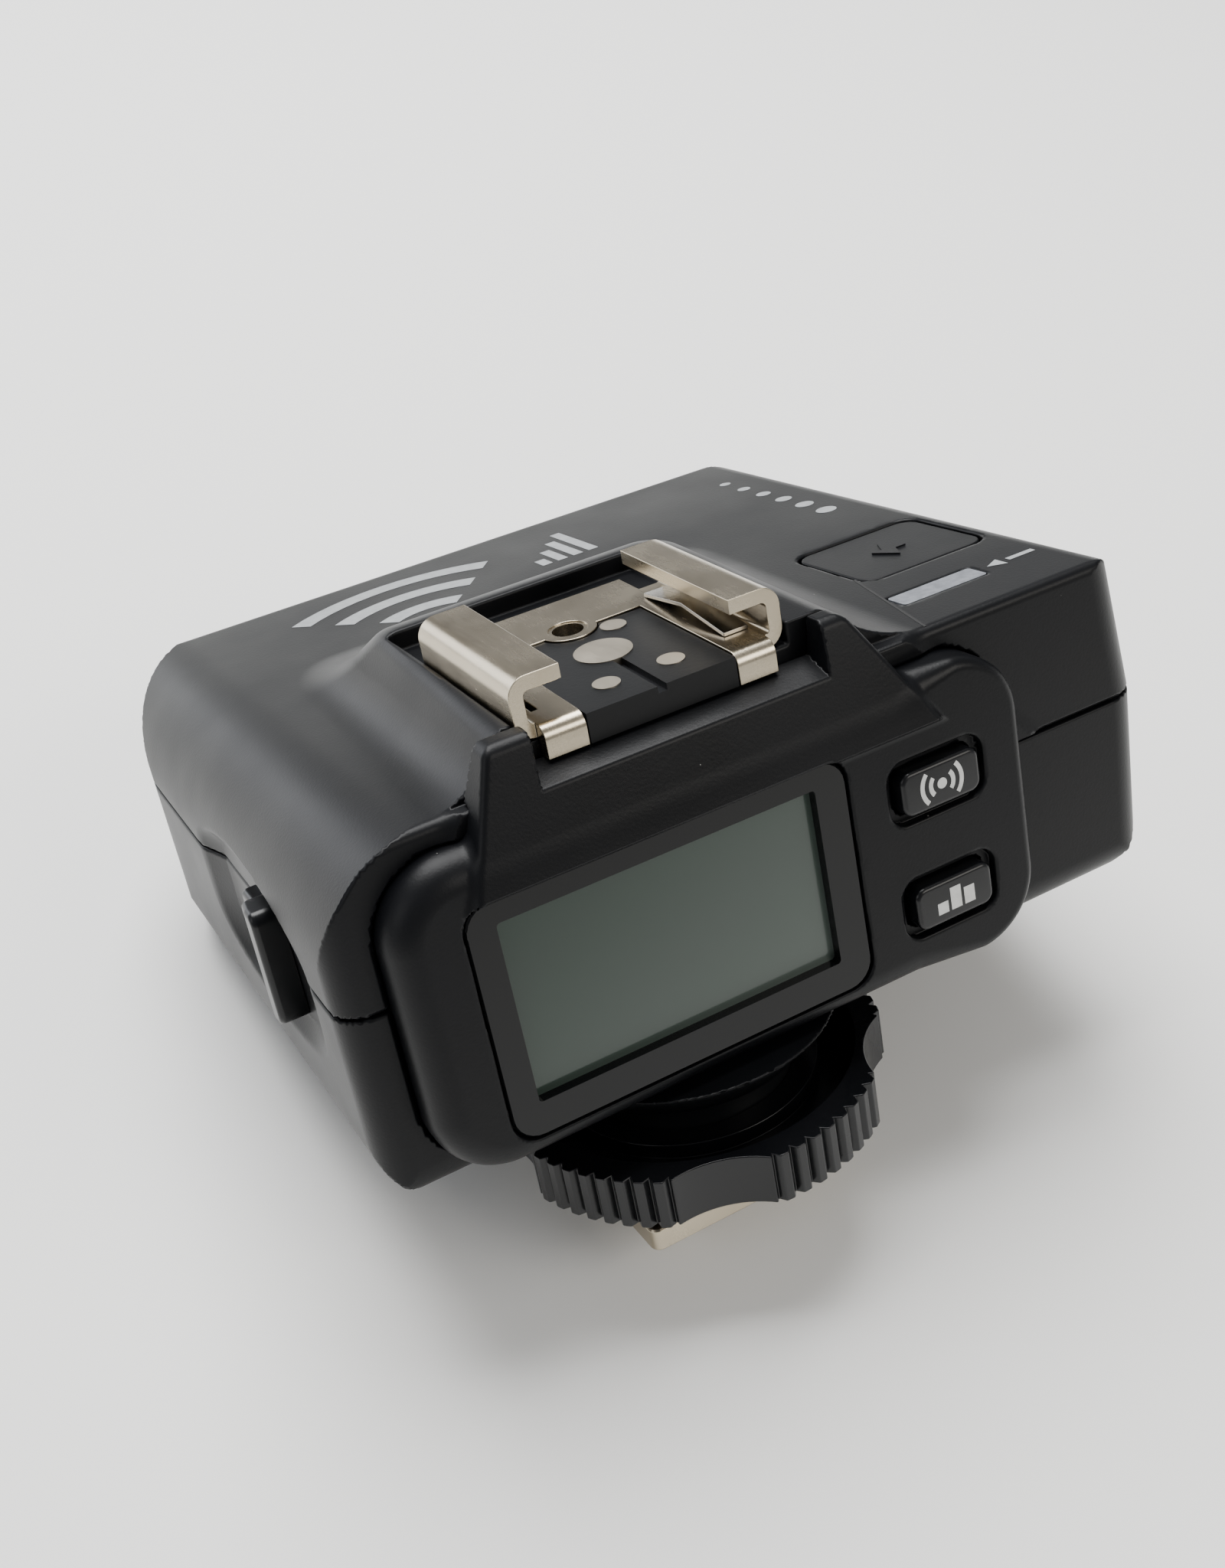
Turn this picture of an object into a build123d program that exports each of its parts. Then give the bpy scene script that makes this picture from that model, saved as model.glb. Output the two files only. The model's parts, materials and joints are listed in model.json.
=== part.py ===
"""Wireless flash trigger: a foot below, a pass-through hot shoe on top and a display behind.

Millimetres. The origin is the centre of the foot plate's underside, +X is the user's right when facing
the display, +Y is forward, away from the user, and +Z is up.
"""

from build123d import *
import math
import os

# ---- clearances -------------------------------------------------------------------------------------
seat_gap = 0.1          # between mouldings that drop into each other
slide_gap = 0.3         # round a piece that slides in a wall
run_gap = 0.05          # radial, round a shaft that turns or slides in its hole
contact_gap = 0.2       # between a key and the switch that it presses

# ---- accessory foot, standard sizes -----------------------------------------------------------------
foot_width = 18.6
foot_length = 18.0
foot_thick = 2.0
foot_corner = 0.8
foot_screw_spots = [(-4.2, 6.0), (4.2, 6.0), (-4.4, -1.9), (4.4, -1.9)]
foot_screw_r = 0.9
foot_screw_head_r = 1.6
foot_pin_r = 0.8
foot_pin_sunk = 0.05    # tips pressed almost level with the foot's underside
foot_pin_spots = {"middle": (0, 0), "front": (2.8, 3.7), "right": (2.6, -5.2), "left": (-2.5, -5.2)}
lock_pin_r = 1.0
lock_pin_y = 5.6
pin_length = 7.0
spigot_width = 12.2     # passes between a camera shoe's lips
spigot_length = 15.0
stem_r = 8.4
stem_wall = 1.8
stem_flange_x = 12.0
stem_flange_y = (-4.2, 10.4)
stem_flange_thick = 1.6
stem_screw_spots = [(-10.2, -2.2), (10.2, -2.2), (-7.4, 7.4), (7.4, 7.4)]
stem_screw_r = 0.8
stem_screw_head_r = 1.5

# ---- lock ring --------------------------------------------------------------------------------------
ring_bottom = 5.0       # drawn at the top of its travel
ring_height = 4.3
ring_r = 15.7
ring_lobes = 5
ring_lobe_turn = 43.0   # degrees of knurl on each lobe
ring_teeth = 8          # on each lobe
ring_tooth_depth = 0.55
ring_scallop_depth = 1.6
ring_first_lobe = -146.0
ring_dish_r = 13.4
ring_dish_depth = 2.2
ring_hub_r = 10.4
ring_hub_sunk = 1.0     # hub top below the rim
washer_thick = 0.6
washer_r = 12.4
washer_proud = 0.1

# ---- case -------------------------------------------------------------------------------------------
case_left = -27.0
case_right = 41.7
case_rear = -7.2
case_front = 54.3
case_bottom = 12.2
case_seam = 28.1
case_top = 39.9         # top surface at the rear wall
case_top_slope = 3.7    # degrees, falling forward
case_wall = 1.8
case_right_draft = 1.8  # how far the right wall leans in above the seam
case_low_left_round = 5.0
case_low_right_round = 6.5
case_shoulder_round = 8.6
case_front_left_round = 14.0
case_front_right_round = 7.0
case_rear_round = 2.6
case_front_edge_round = 2.0
case_front_low_round = 5.0
case_rear_low_round = 3.0
seam_bevel = 0.25
neck_top_r = 12.6
neck_low_r = 9.6
neck_low = 10.6

# ---- battery bay ------------------------------------------------------------------------------------
cell_r = 7.25           # AA cell
cell_length = 49.5
cell_tip = 1.0
cell_tip_r = 2.75
cell_left = -15.0
cell_pitch = 14.9
cell_front = 51.0       # front of the front cell
bay_floor_gap = 0.35
door_left = -16.4
door_right = 36.6
door_rear = 20.6
door_top = 22.0

# ---- display panel, in its own leaning frame --------------------------------------------------------
panel_face_y = -10.6    # at panel_ref_z
panel_ref_z = 21.0
panel_lean = 2.1        # degrees
bezel_left = -23.4
bezel_right = 27.1
bezel_low = 14.0
bezel_high = 38.2
bezel_corner = 5.6
bezel_edge_round = 2.3
bezel_depth = 5.2
window_left = -18.2
window_right = 11.6
window_low = 16.0
window_high = 34.6
window_corner = 2.0
window_thick = 1.0
window_sink = 0.15
bezel_plate = 2.2       # thickness of the bezel's face
lcd_left = -16.1
lcd_right = 9.1
lcd_low = 18.5
lcd_high = 32.9
lcd_margin = 1.6
lcd_thick = 2.0
holder_thick = 2.4
key_left = 15.7
key_right = 22.6
key_height = 3.5
key_low = {"channel": 27.9, "group": 18.35}
key_corner = 0.9
key_proud = 0.55
key_travel = 0.4
key_well = 0.75         # width of the sunk frame round each key
key_well_depth = 0.7
key_gap = 0.15
key_flange = 0.6
key_flange_thick = 0.7
key_plunger = 1.6
switch_size = 4.0
switch_height = 1.6
key_board_thick = 1.0
key_board_margin = 1.4
switch_near = 4.2       # depth of the switches' faces below the panel face

# ---- top cap and shoe block -------------------------------------------------------------------------
block_top = 44.0
block_base_left = -15.2
block_base_right = 19.4
block_base_front = 27.5
block_top_left = -12.1
block_top_right = 14.2
block_top_front = 18.6
block_corner = 3.0
cap_rear_low = -10.9
cap_rear_high = -8.3
cap_front = -6.3
cap_low_left = -16.4
cap_low_right = 18.6
cap_top_left = -13.7
cap_top_right = 14.3
cap_sill = 40.4         # threshold that a foot slides over
cap_mouth_left = -10.7
cap_mouth_right = 11.9
pit_front = 16.4
pit_floor = 41.0

# ---- hot shoe, standard sizes -----------------------------------------------------------------------
shoe_channel = 18.8
shoe_lip_gap = 13.0
shoe_slot = 2.35
shoe_top = 47.0
shoe_sheet = 1.1
shoe_rear = -6.2
shoe_front = 9.3
shoe_bend = 1.5
shoe_apron = 15.0       # width of the base plate in front of the lips
shoe_apron_front = 12.5
shoe_tail = -7.45       # base plate's turned-down rear end
shoe_tail_low = 41.2
leaf_left = 6.9         # the bowed leaf that presses a foot up
leaf_width = 2.0
leaf_rear = -4.2
leaf_front = 7.4
leaf_rise = 0.75
leaf_thick = 0.3
carrier_width = 11.6
carrier_rear = -7.4
carrier_front = 6.2
carrier_thick = 2.2
contact_middle_y = 1.1
contact_middle_r = 2.15
contact_small_r = 1.0
contact_spots = [(2.8, 3.7), (2.6, -5.2), (-2.5, -5.2)]   # from the middle contact
contact_height = 1.4
contact_proud = 0.06
socket_y = 6.7
socket_r = 1.2
socket_lobe_r = 2.2
socket_rim = 0.3

# ---- test button and status lamp on the top ---------------------------------------------------------
test_left = 25.6
test_right = 37.4
test_rear = 5.6
test_front = 16.4
test_corner = 1.6
test_thick = 1.6
test_travel = 0.5
test_switch_height = 3.4
lens_left = 24.0
lens_right = 31.8
lens_rear = -1.5
lens_front = 0.9
lens_thick = 1.5

# ---- power slider on the left wall ------------------------------------------------------------------
slider_rear = 5.0
slider_length = 9.0
slider_low = 21.2
slider_high = 30.8
slider_proud = 1.3
slider_travel = 4.0
slider_recess = 1.1
slider_stalk = 3.0

# ---- electronics ------------------------------------------------------------------------------------
board_low = 30.4
board_thick = 1.2
board_gap = 0.9         # between the board and the case wall
jack_y = 4.6
jack_z = 21.0
jack_bore_r = 1.3
jack_depth = 11.0
jack_body = 5.0
usb_y = 18.9
usb_width = 7.6
usb_height = 2.8
usb_depth = 5.4
usb_sheet = 0.35
boss_r = 2.8
boss_screw_r = 1.1
boss_head_r = 2.0
boss_head_height = 1.2
boss_head_low = 13.1    # heads are sunk in the floor
boss_spots = [(-21.5, -1.5), (36.4, -1.6), (-21.5, 38.0)]
screw_bite = 2.4        # thread above the board


# ---- helpers ----------------------------------------------------------------------------------------
def between(x, y, z):
    """A box between two limits on each axis."""
    middle = [sum(limits) / 2 for limits in (x, y, z)]
    return Pos(*middle) * Box(x[1] - x[0], y[1] - y[0], z[1] - z[0])


def rod(x, y, z, radius):
    """An upright cylinder at x, y between the two heights in z."""
    return Pos(x, y, sum(z) / 2) * Cylinder(radius, z[1] - z[0])


def outline(points, radii):
    """A closed face whose corners have the given radii."""
    return make_face(FilletPolyline(*points, radius=radii, close=True))


def slab(left, right, low, high, corner, inward, outward):
    """A rounded plate on the leaning display panel, from inward of its face to outward of it."""
    middle = ((left + right) / 2, (low + high) / 2 - panel_ref_z)
    face = Pos(*middle) * RectangleRounded(right - left, high - low, corner)
    return panel * Pos(0, 0, -inward) * extrude(face, inward + outward)


def save(name, *solids):
    """Write one node; several solids make a group."""
    shape = solids[0] if len(solids) == 1 else Compound(children=list(solids))
    export_step(shape, "parts/" + name + ".step")


def keep_solid(shape):
    """The one solid of a boolean result, without its wrapper."""
    return max(shape.solids(), key=lambda solid: solid.volume)


lean = math.radians(panel_lean)
panel = Plane(
    origin=(0, panel_face_y, panel_ref_z), x_dir=(1, 0, 0), z_dir=(0, -math.cos(lean), math.sin(lean))
)
slope = math.radians(case_top_slope)
os.makedirs("parts", exist_ok=True)


def top_height(y):
    """Height of the case's sloping top over a point."""
    return case_top - (y - case_rear) * math.tan(slope)


def top_plane(sink):
    return Plane(
        origin=(0, case_rear, case_top - sink), x_dir=(1, 0, 0), z_dir=(0, math.sin(slope), math.cos(slope))
    )


# ---- case form --------------------------------------------------------------------------------------
def case_form(inset):
    """The closed case's outer form, or the same form brought in by inset on every side."""
    left, right = case_left + inset, case_right - inset
    low, roof = case_bottom + inset, case_top - inset
    rear, front = case_rear + inset, case_front - inset
    high = roof + 1
    lean_in = case_right_draft * (high - case_seam) / (roof - case_seam)
    shoulder = case_shoulder_round - inset
    front_view = outline(
        [(left, low), (right, low), (right, case_seam), (right - lean_in, high),
         (left + shoulder + 0.5, high), (left + shoulder + 0.5, roof), (left, roof)],
        [case_low_left_round - inset, case_low_right_round - inset, 0, 0, 0, 0, shoulder],
    )
    plan = outline(
        [(left, rear), (right, rear), (right, front), (left, front)],
        [max(radius - inset, 0.4) for radius in
         (case_rear_round, case_rear_round, case_front_right_round, case_front_left_round)],
    )
    side_view = outline(
        [(rear, low), (front, low), (front, top_height(front) - inset), (rear, roof)],
        [max(radius - inset, 0.4) for radius in
         (case_rear_low_round, case_front_low_round, case_front_edge_round)] + [0],
    )
    facing = Plane(origin=(0, rear, 0), x_dir=(1, 0, 0), z_dir=(0, -1, 0))
    sideways = Plane(origin=(left - 1, 0, 0), x_dir=(0, 1, 0), z_dir=(1, 0, 0))
    form = extrude(facing * front_view, -(front - rear))
    form = form & (Pos(0, 0, low - 1) * extrude(plan, high - low + 2))
    return keep_solid(form & extrude(sideways * side_view, right - left + 2))


def block_level(left, right, front, height):
    """One level of the shoe block, with its two front corners rounded."""
    points = [(left, cap_front), (right, cap_front), (right, front), (left, front)]
    return Pos(0, 0, height) * outline(points, [0, 0, block_corner, block_corner])


def block_form(inset):
    """The raised block that carries the hot shoe, from inside the case up to the block's top."""
    base = block_level(block_base_left + inset, block_base_right - inset, block_base_front - inset,
                       top_height(block_base_front) - 1)
    crown = block_level(block_top_left + inset, block_top_right - inset, block_top_front - inset,
                        block_top - inset)
    return loft([base, crown])


case_outer = case_form(0)
case_inner = case_form(case_wall)
inner_left, inner_right = case_left + case_wall, case_right - case_wall
inner_rear, inner_front = case_rear + case_wall, case_front - case_wall
inner_low = case_bottom + case_wall
far = 100.0
screw_top = board_low + board_thick + screw_bite
above_seam = between((-far, far), (-far, far), (case_seam, far))
below_seam = between((-far, far), (-far, far), (-far, case_seam))
slot_floor = shoe_top - shoe_sheet - shoe_slot
seam_plan = section(case_outer, Plane.XY.offset(case_seam)).face()
case_seam_cut = Pos(0, 0, -seam_bevel / 2) * (
    extrude(offset(seam_plan, 1.0), seam_bevel) - extrude(offset(seam_plan, -seam_bevel), seam_bevel)
)
bezel_pocket = slab(
    bezel_left - seat_gap, bezel_right + seat_gap, bezel_low - seat_gap, bezel_high + seat_gap,
    bezel_corner + seat_gap, bezel_depth + 0.8, 1,
)


# ---- upper shell ------------------------------------------------------------------------------------
def top_button_well(left, right, rear, front, corner, depth, gap):
    """A well cut down from the sloping top."""
    face = Pos((left + right) / 2, (rear + front) / 2, 0) * RectangleRounded(
        right - left + 2 * gap, front - rear + 2 * gap, corner + gap)
    middle = top_height((rear + front) / 2)
    return Pos(0, 0, middle - depth) * extrude(face, depth + 3)


def slider_window():
    """The sunk field in the left wall and the slot through it for the power slider's stalk."""
    rear = slider_rear - slide_gap
    front = slider_rear + slider_length + slider_travel + slide_gap
    field = between((case_left - 5, case_left + slider_recess), (rear, front),
                    (slider_low - slide_gap, slider_high + slide_gap))
    stalk_middle = (slider_low + slider_high) / 2
    stalk_rear = slider_rear + (slider_length - slider_stalk) / 2
    slot = between(
        (case_left - 5, case_left + 4),
        (stalk_rear - slide_gap, stalk_rear + slider_stalk + slider_travel + slide_gap),
        (stalk_middle - slider_stalk / 2 - slide_gap, stalk_middle + slider_stalk / 2 + slide_gap),
    )
    return field + slot


def upper_shell():
    shell = (case_outer + block_form(0)) - case_inner
    shell = shell - (block_form(case_wall) & between((-far, far), (-far, far), (0, pit_floor - case_wall)))
    pit = between(
        (-shoe_channel / 2 - shoe_sheet - seat_gap, shoe_channel / 2 + shoe_sheet + seat_gap),
        (cap_front - 1, pit_front), (slot_floor - shoe_sheet, block_top + 1),
    )
    carrier_hole = between(
        (-carrier_width / 2 - seat_gap, carrier_width / 2 + seat_gap),
        (cap_front - 1, carrier_front + seat_gap), (pit_floor - 6, block_top),
    )
    shell = shell - pit - carrier_hole - rod(0, socket_y, (pit_floor - 6, block_top), socket_r + socket_rim)
    test_well = top_button_well(test_left, test_right, test_rear, test_front, test_corner, 6, slide_gap)
    lens_well = top_button_well(lens_left, lens_right, lens_rear, lens_front, 0.3, 6, seat_gap)
    shell = shell - test_well - lens_well - bezel_pocket - slider_window() - ports()
    shell = shell & above_seam
    for x, y in boss_spots:
        boss = rod(x, y, (board_low + board_thick, top_height(y) - 1), boss_r)
        shell = shell + boss - rod(x, y, (board_low, screw_top), boss_screw_r)
    return keep_solid(shell - case_seam_cut)


# ---- lower shell ------------------------------------------------------------------------------------
def battery_door_form(gap):
    """The part of the lower shell's floor and front wall that comes away with the battery door."""
    reach = between((door_left - gap, door_right + gap), (door_rear - gap, case_front + 5),
                    (case_bottom - 5, door_top + gap))
    return (case_outer - case_inner) & reach


def ports():
    """Openings in the right wall for the sync jack and the USB port."""
    depth = case_wall + 2
    jack = Rot(0, 90, 0) * Cylinder(jack_body / 2 + 0.2, depth)
    half_width, half_height = usb_width / 2 + seat_gap, usb_height / 2 + seat_gap
    usb = between((case_right - depth, case_right + 1), (usb_y - half_width, usb_y + half_width),
                  (jack_z - half_height, jack_z + half_height))
    return Pos(case_right - depth / 2 + 1, jack_y, jack_z) * jack + usb


def lower_shell():
    shell = (case_outer - case_inner) & below_seam
    neck_high = bezel_low - seat_gap
    neck = Cone(neck_low_r, neck_top_r, neck_high - neck_low)
    shell = shell + Pos(0, 0, (neck_low + neck_high) / 2) * neck
    shell = shell - rod(0, 0, (0, bezel_low + 1), stem_r + seat_gap)
    for x, y in stem_screw_spots:
        shell = shell - rod(x, y, (inner_low - 1.2, inner_low + 1), stem_screw_r)
    shell = shell - battery_door_form(slide_gap) - bezel_pocket - slider_window() - ports()
    for x, y in boss_spots:
        shell = shell + rod(x, y, (inner_low - 0.3, board_low), boss_r)
        shell = shell - rod(x, y, (0, board_low + 1), boss_screw_r + 0.2)
        shell = shell - rod(x, y, (0, boss_head_low + boss_head_height), boss_head_r + 0.2)
    return keep_solid(shell - case_seam_cut)


# ---- display bezel and cap --------------------------------------------------------------------------
def bezel_cap():
    """The raised rear of the shoe block, with a horn each side of the mouth that a foot slides in at."""
    low = bezel_high - 2
    side_view = outline(
        [(cap_rear_low, low), (case_rear - seat_gap, low), (case_rear - seat_gap, case_top + seat_gap),
         (cap_front - seat_gap, case_top + seat_gap), (cap_front - seat_gap, block_top),
         (cap_rear_high, block_top)],
        [0, 0, 0, 0, 0, 0.8],
    )
    sideways = Plane(origin=(cap_low_left - 1, 0, 0), x_dir=(0, 1, 0), z_dir=(1, 0, 0))
    cap = extrude(sideways * side_view, cap_low_right - cap_low_left + 2)
    rise = block_top - low
    for x, top_x in ((cap_low_left, cap_top_left), (cap_low_right, cap_top_right)):
        run = top_x - x
        way = math.copysign(1, run)
        side = Plane(origin=(x, 0, low), x_dir=(0, 1, 0), z_dir=(-way * rise, 0, abs(run)))
        cap = split(cap, bisect_by=side, keep=Keep.BOTTOM)
    return cap - between((cap_mouth_left, cap_mouth_right), (-far, far), (cap_sill, far))


def key_slab(name, grow, inward, outward):
    low = key_low[name]
    return slab(key_left - grow, key_right + grow, low - grow, low + key_height + grow,
                key_corner + grow, inward, outward)


def display_bezel():
    plate = slab(bezel_left, bezel_right, bezel_low, bezel_high, bezel_corner, bezel_depth, 0)
    outward = plate.faces().filter_by(lambda face: face.center().Y < panel_face_y + 1)
    bezel = fillet(outward.sort_by(SortBy.AREA)[-1].edges(), bezel_edge_round) + bezel_cap()
    hollow = slab(bezel_left + case_wall, bezel_right - case_wall, bezel_low + case_wall,
                  bezel_high - case_wall, bezel_corner - case_wall, bezel_depth + 1, -bezel_plate)
    window_seat = slab(window_left - seat_gap, window_right + seat_gap, window_low - seat_gap,
                       window_high + seat_gap, window_corner + seat_gap, window_sink + window_thick, 1)
    sight = slab(lcd_left - 0.6, lcd_right + 0.6, lcd_low - 0.6, lcd_high + 0.6, 0.4, bezel_depth, 1)
    bezel = bezel - hollow - window_seat - sight
    for name in key_low:
        bezel = bezel - key_slab(name, key_well, key_well_depth, 1)
        bezel = bezel - key_slab(name, key_gap, bezel_depth, 1)
    return keep_solid(bezel)


def lcd_layer(margin, near, thick):
    """A plate behind the bezel's face, as large as the lit area plus a margin."""
    return slab(lcd_left - margin, lcd_right + margin, lcd_low - margin, lcd_high + margin, 0.5,
                near + thick, -near)


def key(name):
    cap = key_slab(name, 0, bezel_plate + seat_gap, key_proud)
    top = cap.faces().filter_by(lambda face: face.center().Y < panel_face_y).sort_by(SortBy.AREA)[-1]
    cap = fillet(top.edges(), 0.35)
    flange = key_slab(name, key_flange, bezel_plate + seat_gap + key_flange_thick, -bezel_plate - seat_gap)
    half = key_plunger / 2
    middle, level = (key_left + key_right) / 2, key_low[name] + key_height / 2
    plunger = slab(middle - half, middle + half, level - half, level + half, 0.4,
                   switch_near - key_travel - contact_gap, -bezel_plate)
    return keep_solid(cap + flange + plunger)


def key_switch(name):
    middle, low = (key_left + key_right) / 2, key_low[name] + key_height / 2
    half = switch_size / 2
    return slab(middle - half, middle + half, low - half, low + half, 0.3,
                switch_near + switch_height, -switch_near)


def key_board():
    near, margin = switch_near + switch_height, key_board_margin
    return slab(key_left - margin, key_right + margin, key_low["group"] - margin,
                key_low["channel"] + key_height + margin, 0.6, near + key_board_thick, -near)


# ---- hot shoe ---------------------------------------------------------------------------------------
def shoe_rails():
    """One bent sheet: a base plate, two walls and two lips that hold a foot."""
    half = shoe_channel / 2 + shoe_sheet
    low = slot_floor - shoe_sheet
    outer_skin = outline([(-half, low), (half, low), (half, shoe_top), (-half, shoe_top)],
                         [shoe_bend, shoe_bend, shoe_bend, shoe_bend])
    channel = outline(
        [(-half + shoe_sheet, slot_floor), (half - shoe_sheet, slot_floor),
         (half - shoe_sheet, shoe_top - shoe_sheet), (-half + shoe_sheet, shoe_top - shoe_sheet)],
        [shoe_bend - shoe_sheet] * 4,
    )
    mouth = Pos(0, shoe_top) * Rectangle(shoe_lip_gap, 4 * shoe_sheet)
    facing = Plane(origin=(0, shoe_rear, 0), x_dir=(1, 0, 0), z_dir=(0, -1, 0))
    rails = extrude(facing * (outer_skin - channel - mouth), -(shoe_front - shoe_rear))
    apron = between((-shoe_apron / 2, shoe_apron / 2), (shoe_front - 1, shoe_apron_front),
                    (low, slot_floor))
    rails = rails + apron
    for side in (-1, 1):
        edges = sorted((side * (carrier_width / 2 + seat_gap), side * (half - shoe_bend)))
        tail = between(edges, (shoe_tail, shoe_rear + 1), (low, slot_floor))
        tail = tail + between(edges, (shoe_tail, shoe_tail + shoe_sheet), (shoe_tail_low, slot_floor))
        bend = tail.edges().filter_by(Axis.X).filter_by(
            lambda edge: edge.center().Z > slot_floor - 0.01 and edge.center().Y < shoe_tail + 0.01)
        rails = rails + fillet(bend, shoe_sheet - 0.1)
    hole = between((-carrier_width / 2 - seat_gap, carrier_width / 2 + seat_gap),
                   (shoe_tail - 1, carrier_front), (low - 1, slot_floor + 1))
    lobe = rod(0, socket_y, (low - 2, slot_floor + 2), socket_lobe_r)
    rails = rails - (hole - lobe) - rod(0, socket_y, (low - 1, slot_floor + 1), socket_r + socket_rim)
    slit = between((-8.4, -7.9), (-4.4, 1.0), (low - 1, slot_floor + 1))
    return keep_solid(rails - slit)


def shoe_spring():
    """A bowed leaf on the right of the channel that presses the foot up against the lips."""
    base = slot_floor + 0.02
    crest = base + leaf_rise
    middle = (leaf_rear + leaf_front) / 2
    points = [(leaf_rear, base), (middle, crest), (leaf_front, base), (leaf_front, base + leaf_thick),
              (middle, crest + leaf_thick), (leaf_rear, base + leaf_thick)]
    sideways = Plane(origin=(leaf_left, 0, 0), x_dir=(0, 1, 0), z_dir=(1, 0, 0))
    return extrude(sideways * make_face(Polyline(*points, close=True)), leaf_width)


def contact_carrier():
    top = slot_floor - 0.15
    low = top - carrier_thick
    carrier = between((-carrier_width / 2, carrier_width / 2), (carrier_rear, carrier_front - seat_gap),
                      (low, top))
    carrier = carrier - rod(0, socket_y, (low - 1, top + 1), socket_lobe_r + seat_gap)
    carrier = carrier - between((-0.35, 0.35), (carrier_rear - 1, contact_middle_y), (top - 0.5, top + 1))
    for x, y, radius in contact_places():
        carrier = carrier - rod(x, y, (top - contact_height + contact_proud, top + 1), radius)
    return keep_solid(carrier)


def contact_places():
    """Centre and radius of each contact on the shoe, the middle one first."""
    yield 0, contact_middle_y, contact_middle_r
    for x, y in contact_spots:
        yield x, contact_middle_y + y, contact_small_r


def shoe_contacts():
    top = slot_floor - 0.15 + contact_proud
    return [rod(x, y, (top - contact_height, top), radius) for x, y, radius in contact_places()]


def pin_socket():
    """The eyelet in the base plate that takes a foot's locking pin."""
    low, high = slot_floor - shoe_sheet - 0.6, slot_floor - 0.1
    eyelet = rod(0, socket_y, (low, high), socket_r + socket_rim)
    return eyelet - rod(0, socket_y, (low - 1, high + 1), socket_r)


# ---- top controls -----------------------------------------------------------------------------------
def top_plate(left, right, rear, front, corner, sink, thick):
    """A rounded plate lying in the sloping top, its upper face sunk below it."""
    middle = (rear + front) / 2
    face = Pos((left + right) / 2, middle, 0) * RectangleRounded(right - left, front - rear, corner)
    tall = Pos(0, 0, top_height(middle) - thick - 3) * extrude(face, thick + 8)
    tall = split(tall, bisect_by=top_plane(sink), keep=Keep.BOTTOM)
    return keep_solid(split(tall, bisect_by=top_plane(sink + thick), keep=Keep.TOP))


def test_button():
    button = top_plate(test_left, test_right, test_rear, test_front, test_corner, 0.1, test_thick)
    x, y = (test_left + test_right) / 2, (test_rear + test_front) / 2
    under = top_height(y) - test_thick
    return keep_solid(button + rod(x, y, (test_switch_top() + test_travel + contact_gap, under), 1.2))


def test_switch_top():
    return board_low + board_thick + test_switch_height


def test_switch():
    x, y = (test_left + test_right) / 2, (test_rear + test_front) / 2
    half = 2.6
    return between((x - half, x + half), (y - half, y + half), (board_low + board_thick, test_switch_top()))


def status_lens():
    return top_plate(lens_left, lens_right, lens_rear, lens_front, 0.3, 0.02, lens_thick)


def status_led():
    x, y = (lens_left + lens_right) / 2, (lens_rear + lens_front) / 2
    top = board_low + board_thick
    return between((x - 1.0, x + 1.0), (y - 0.6, y + 0.6), (top, top + 0.7))


def power_slider():
    """A sunk plate with a tall thumb tab at its rear end and a stalk through the wall."""
    face = case_left + 0.15
    back = case_left + slider_recess - 0.06
    low, high = slider_low, slider_high
    rear, front = slider_rear, slider_rear + slider_length
    thumb = case_left - slider_proud
    plan = [(back, rear), (thumb, rear), (thumb, rear + 1.2), (thumb + 0.5, rear + 3.0), (face, rear + 4.6),
            (face, front), (back, front)]
    plate = Pos(0, 0, low) * extrude(make_face(Polyline(*plan, close=True)), high - low)
    middle_y, middle_z = (rear + front) / 2, (low + high) / 2
    half = slider_stalk / 2
    stalk = between((back - 0.2, inner_left + 1.6), (middle_y - half, middle_y + half),
                    (middle_z - half, middle_z + half))
    return keep_solid(plate + stalk)


def power_switch():
    """The slide switch's body, with a trough that its slider's stalk runs in."""
    middle_y = slider_rear + (slider_length + slider_travel) / 2
    middle_z = (slider_low + slider_high) / 2
    near = inner_left + 0.5
    body = between((near, near + 4.0), (middle_y - 6.5, middle_y + 6.5), (middle_z - 2.8, middle_z + 2.8))
    half = slider_stalk / 2 + slide_gap
    reach = half + slider_travel / 2
    trough = between((near - 1, inner_left + 2.2), (middle_y - reach, middle_y + reach),
                     (middle_z - half, middle_z + half))
    return keep_solid(body - trough)


# ---- foot, stem and lock ring -----------------------------------------------------------------------
stem_low = ring_bottom + washer_thick + 0.2
flange_low = inner_low


def pin_rows():
    """Name, centre and radius of each spring-loaded pin in the foot."""
    for name, (x, y) in foot_pin_spots.items():
        yield "foot_pin_" + name, x, y, foot_pin_r
    yield "lock_pin", 0, lock_pin_y, lock_pin_r


def foot_plate():
    face = RectangleRounded(foot_width, foot_length, foot_corner)
    plate = extrude(face, foot_thick)
    plate = chamfer(plate.edges().filter_by(Axis.Z, reverse=True), 0.15)
    for _, x, y, radius in pin_rows():
        plate = plate - rod(x, y, (-1, foot_thick + 1), radius + run_gap)
    for x, y in foot_screw_spots:
        plate = plate - rod(x, y, (-1, foot_thick + 1), foot_screw_r + seat_gap)
        plate = plate - screw_head(x, y, seat_gap)
    return keep_solid(plate)


def screw_head(x, y, gap):
    """A countersunk head in the foot's underside."""
    depth = foot_screw_head_r - foot_screw_r
    return Pos(x, y, 0.1 + depth / 2 - gap / 2) * Cone(foot_screw_head_r + gap, foot_screw_r, depth + gap)


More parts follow.
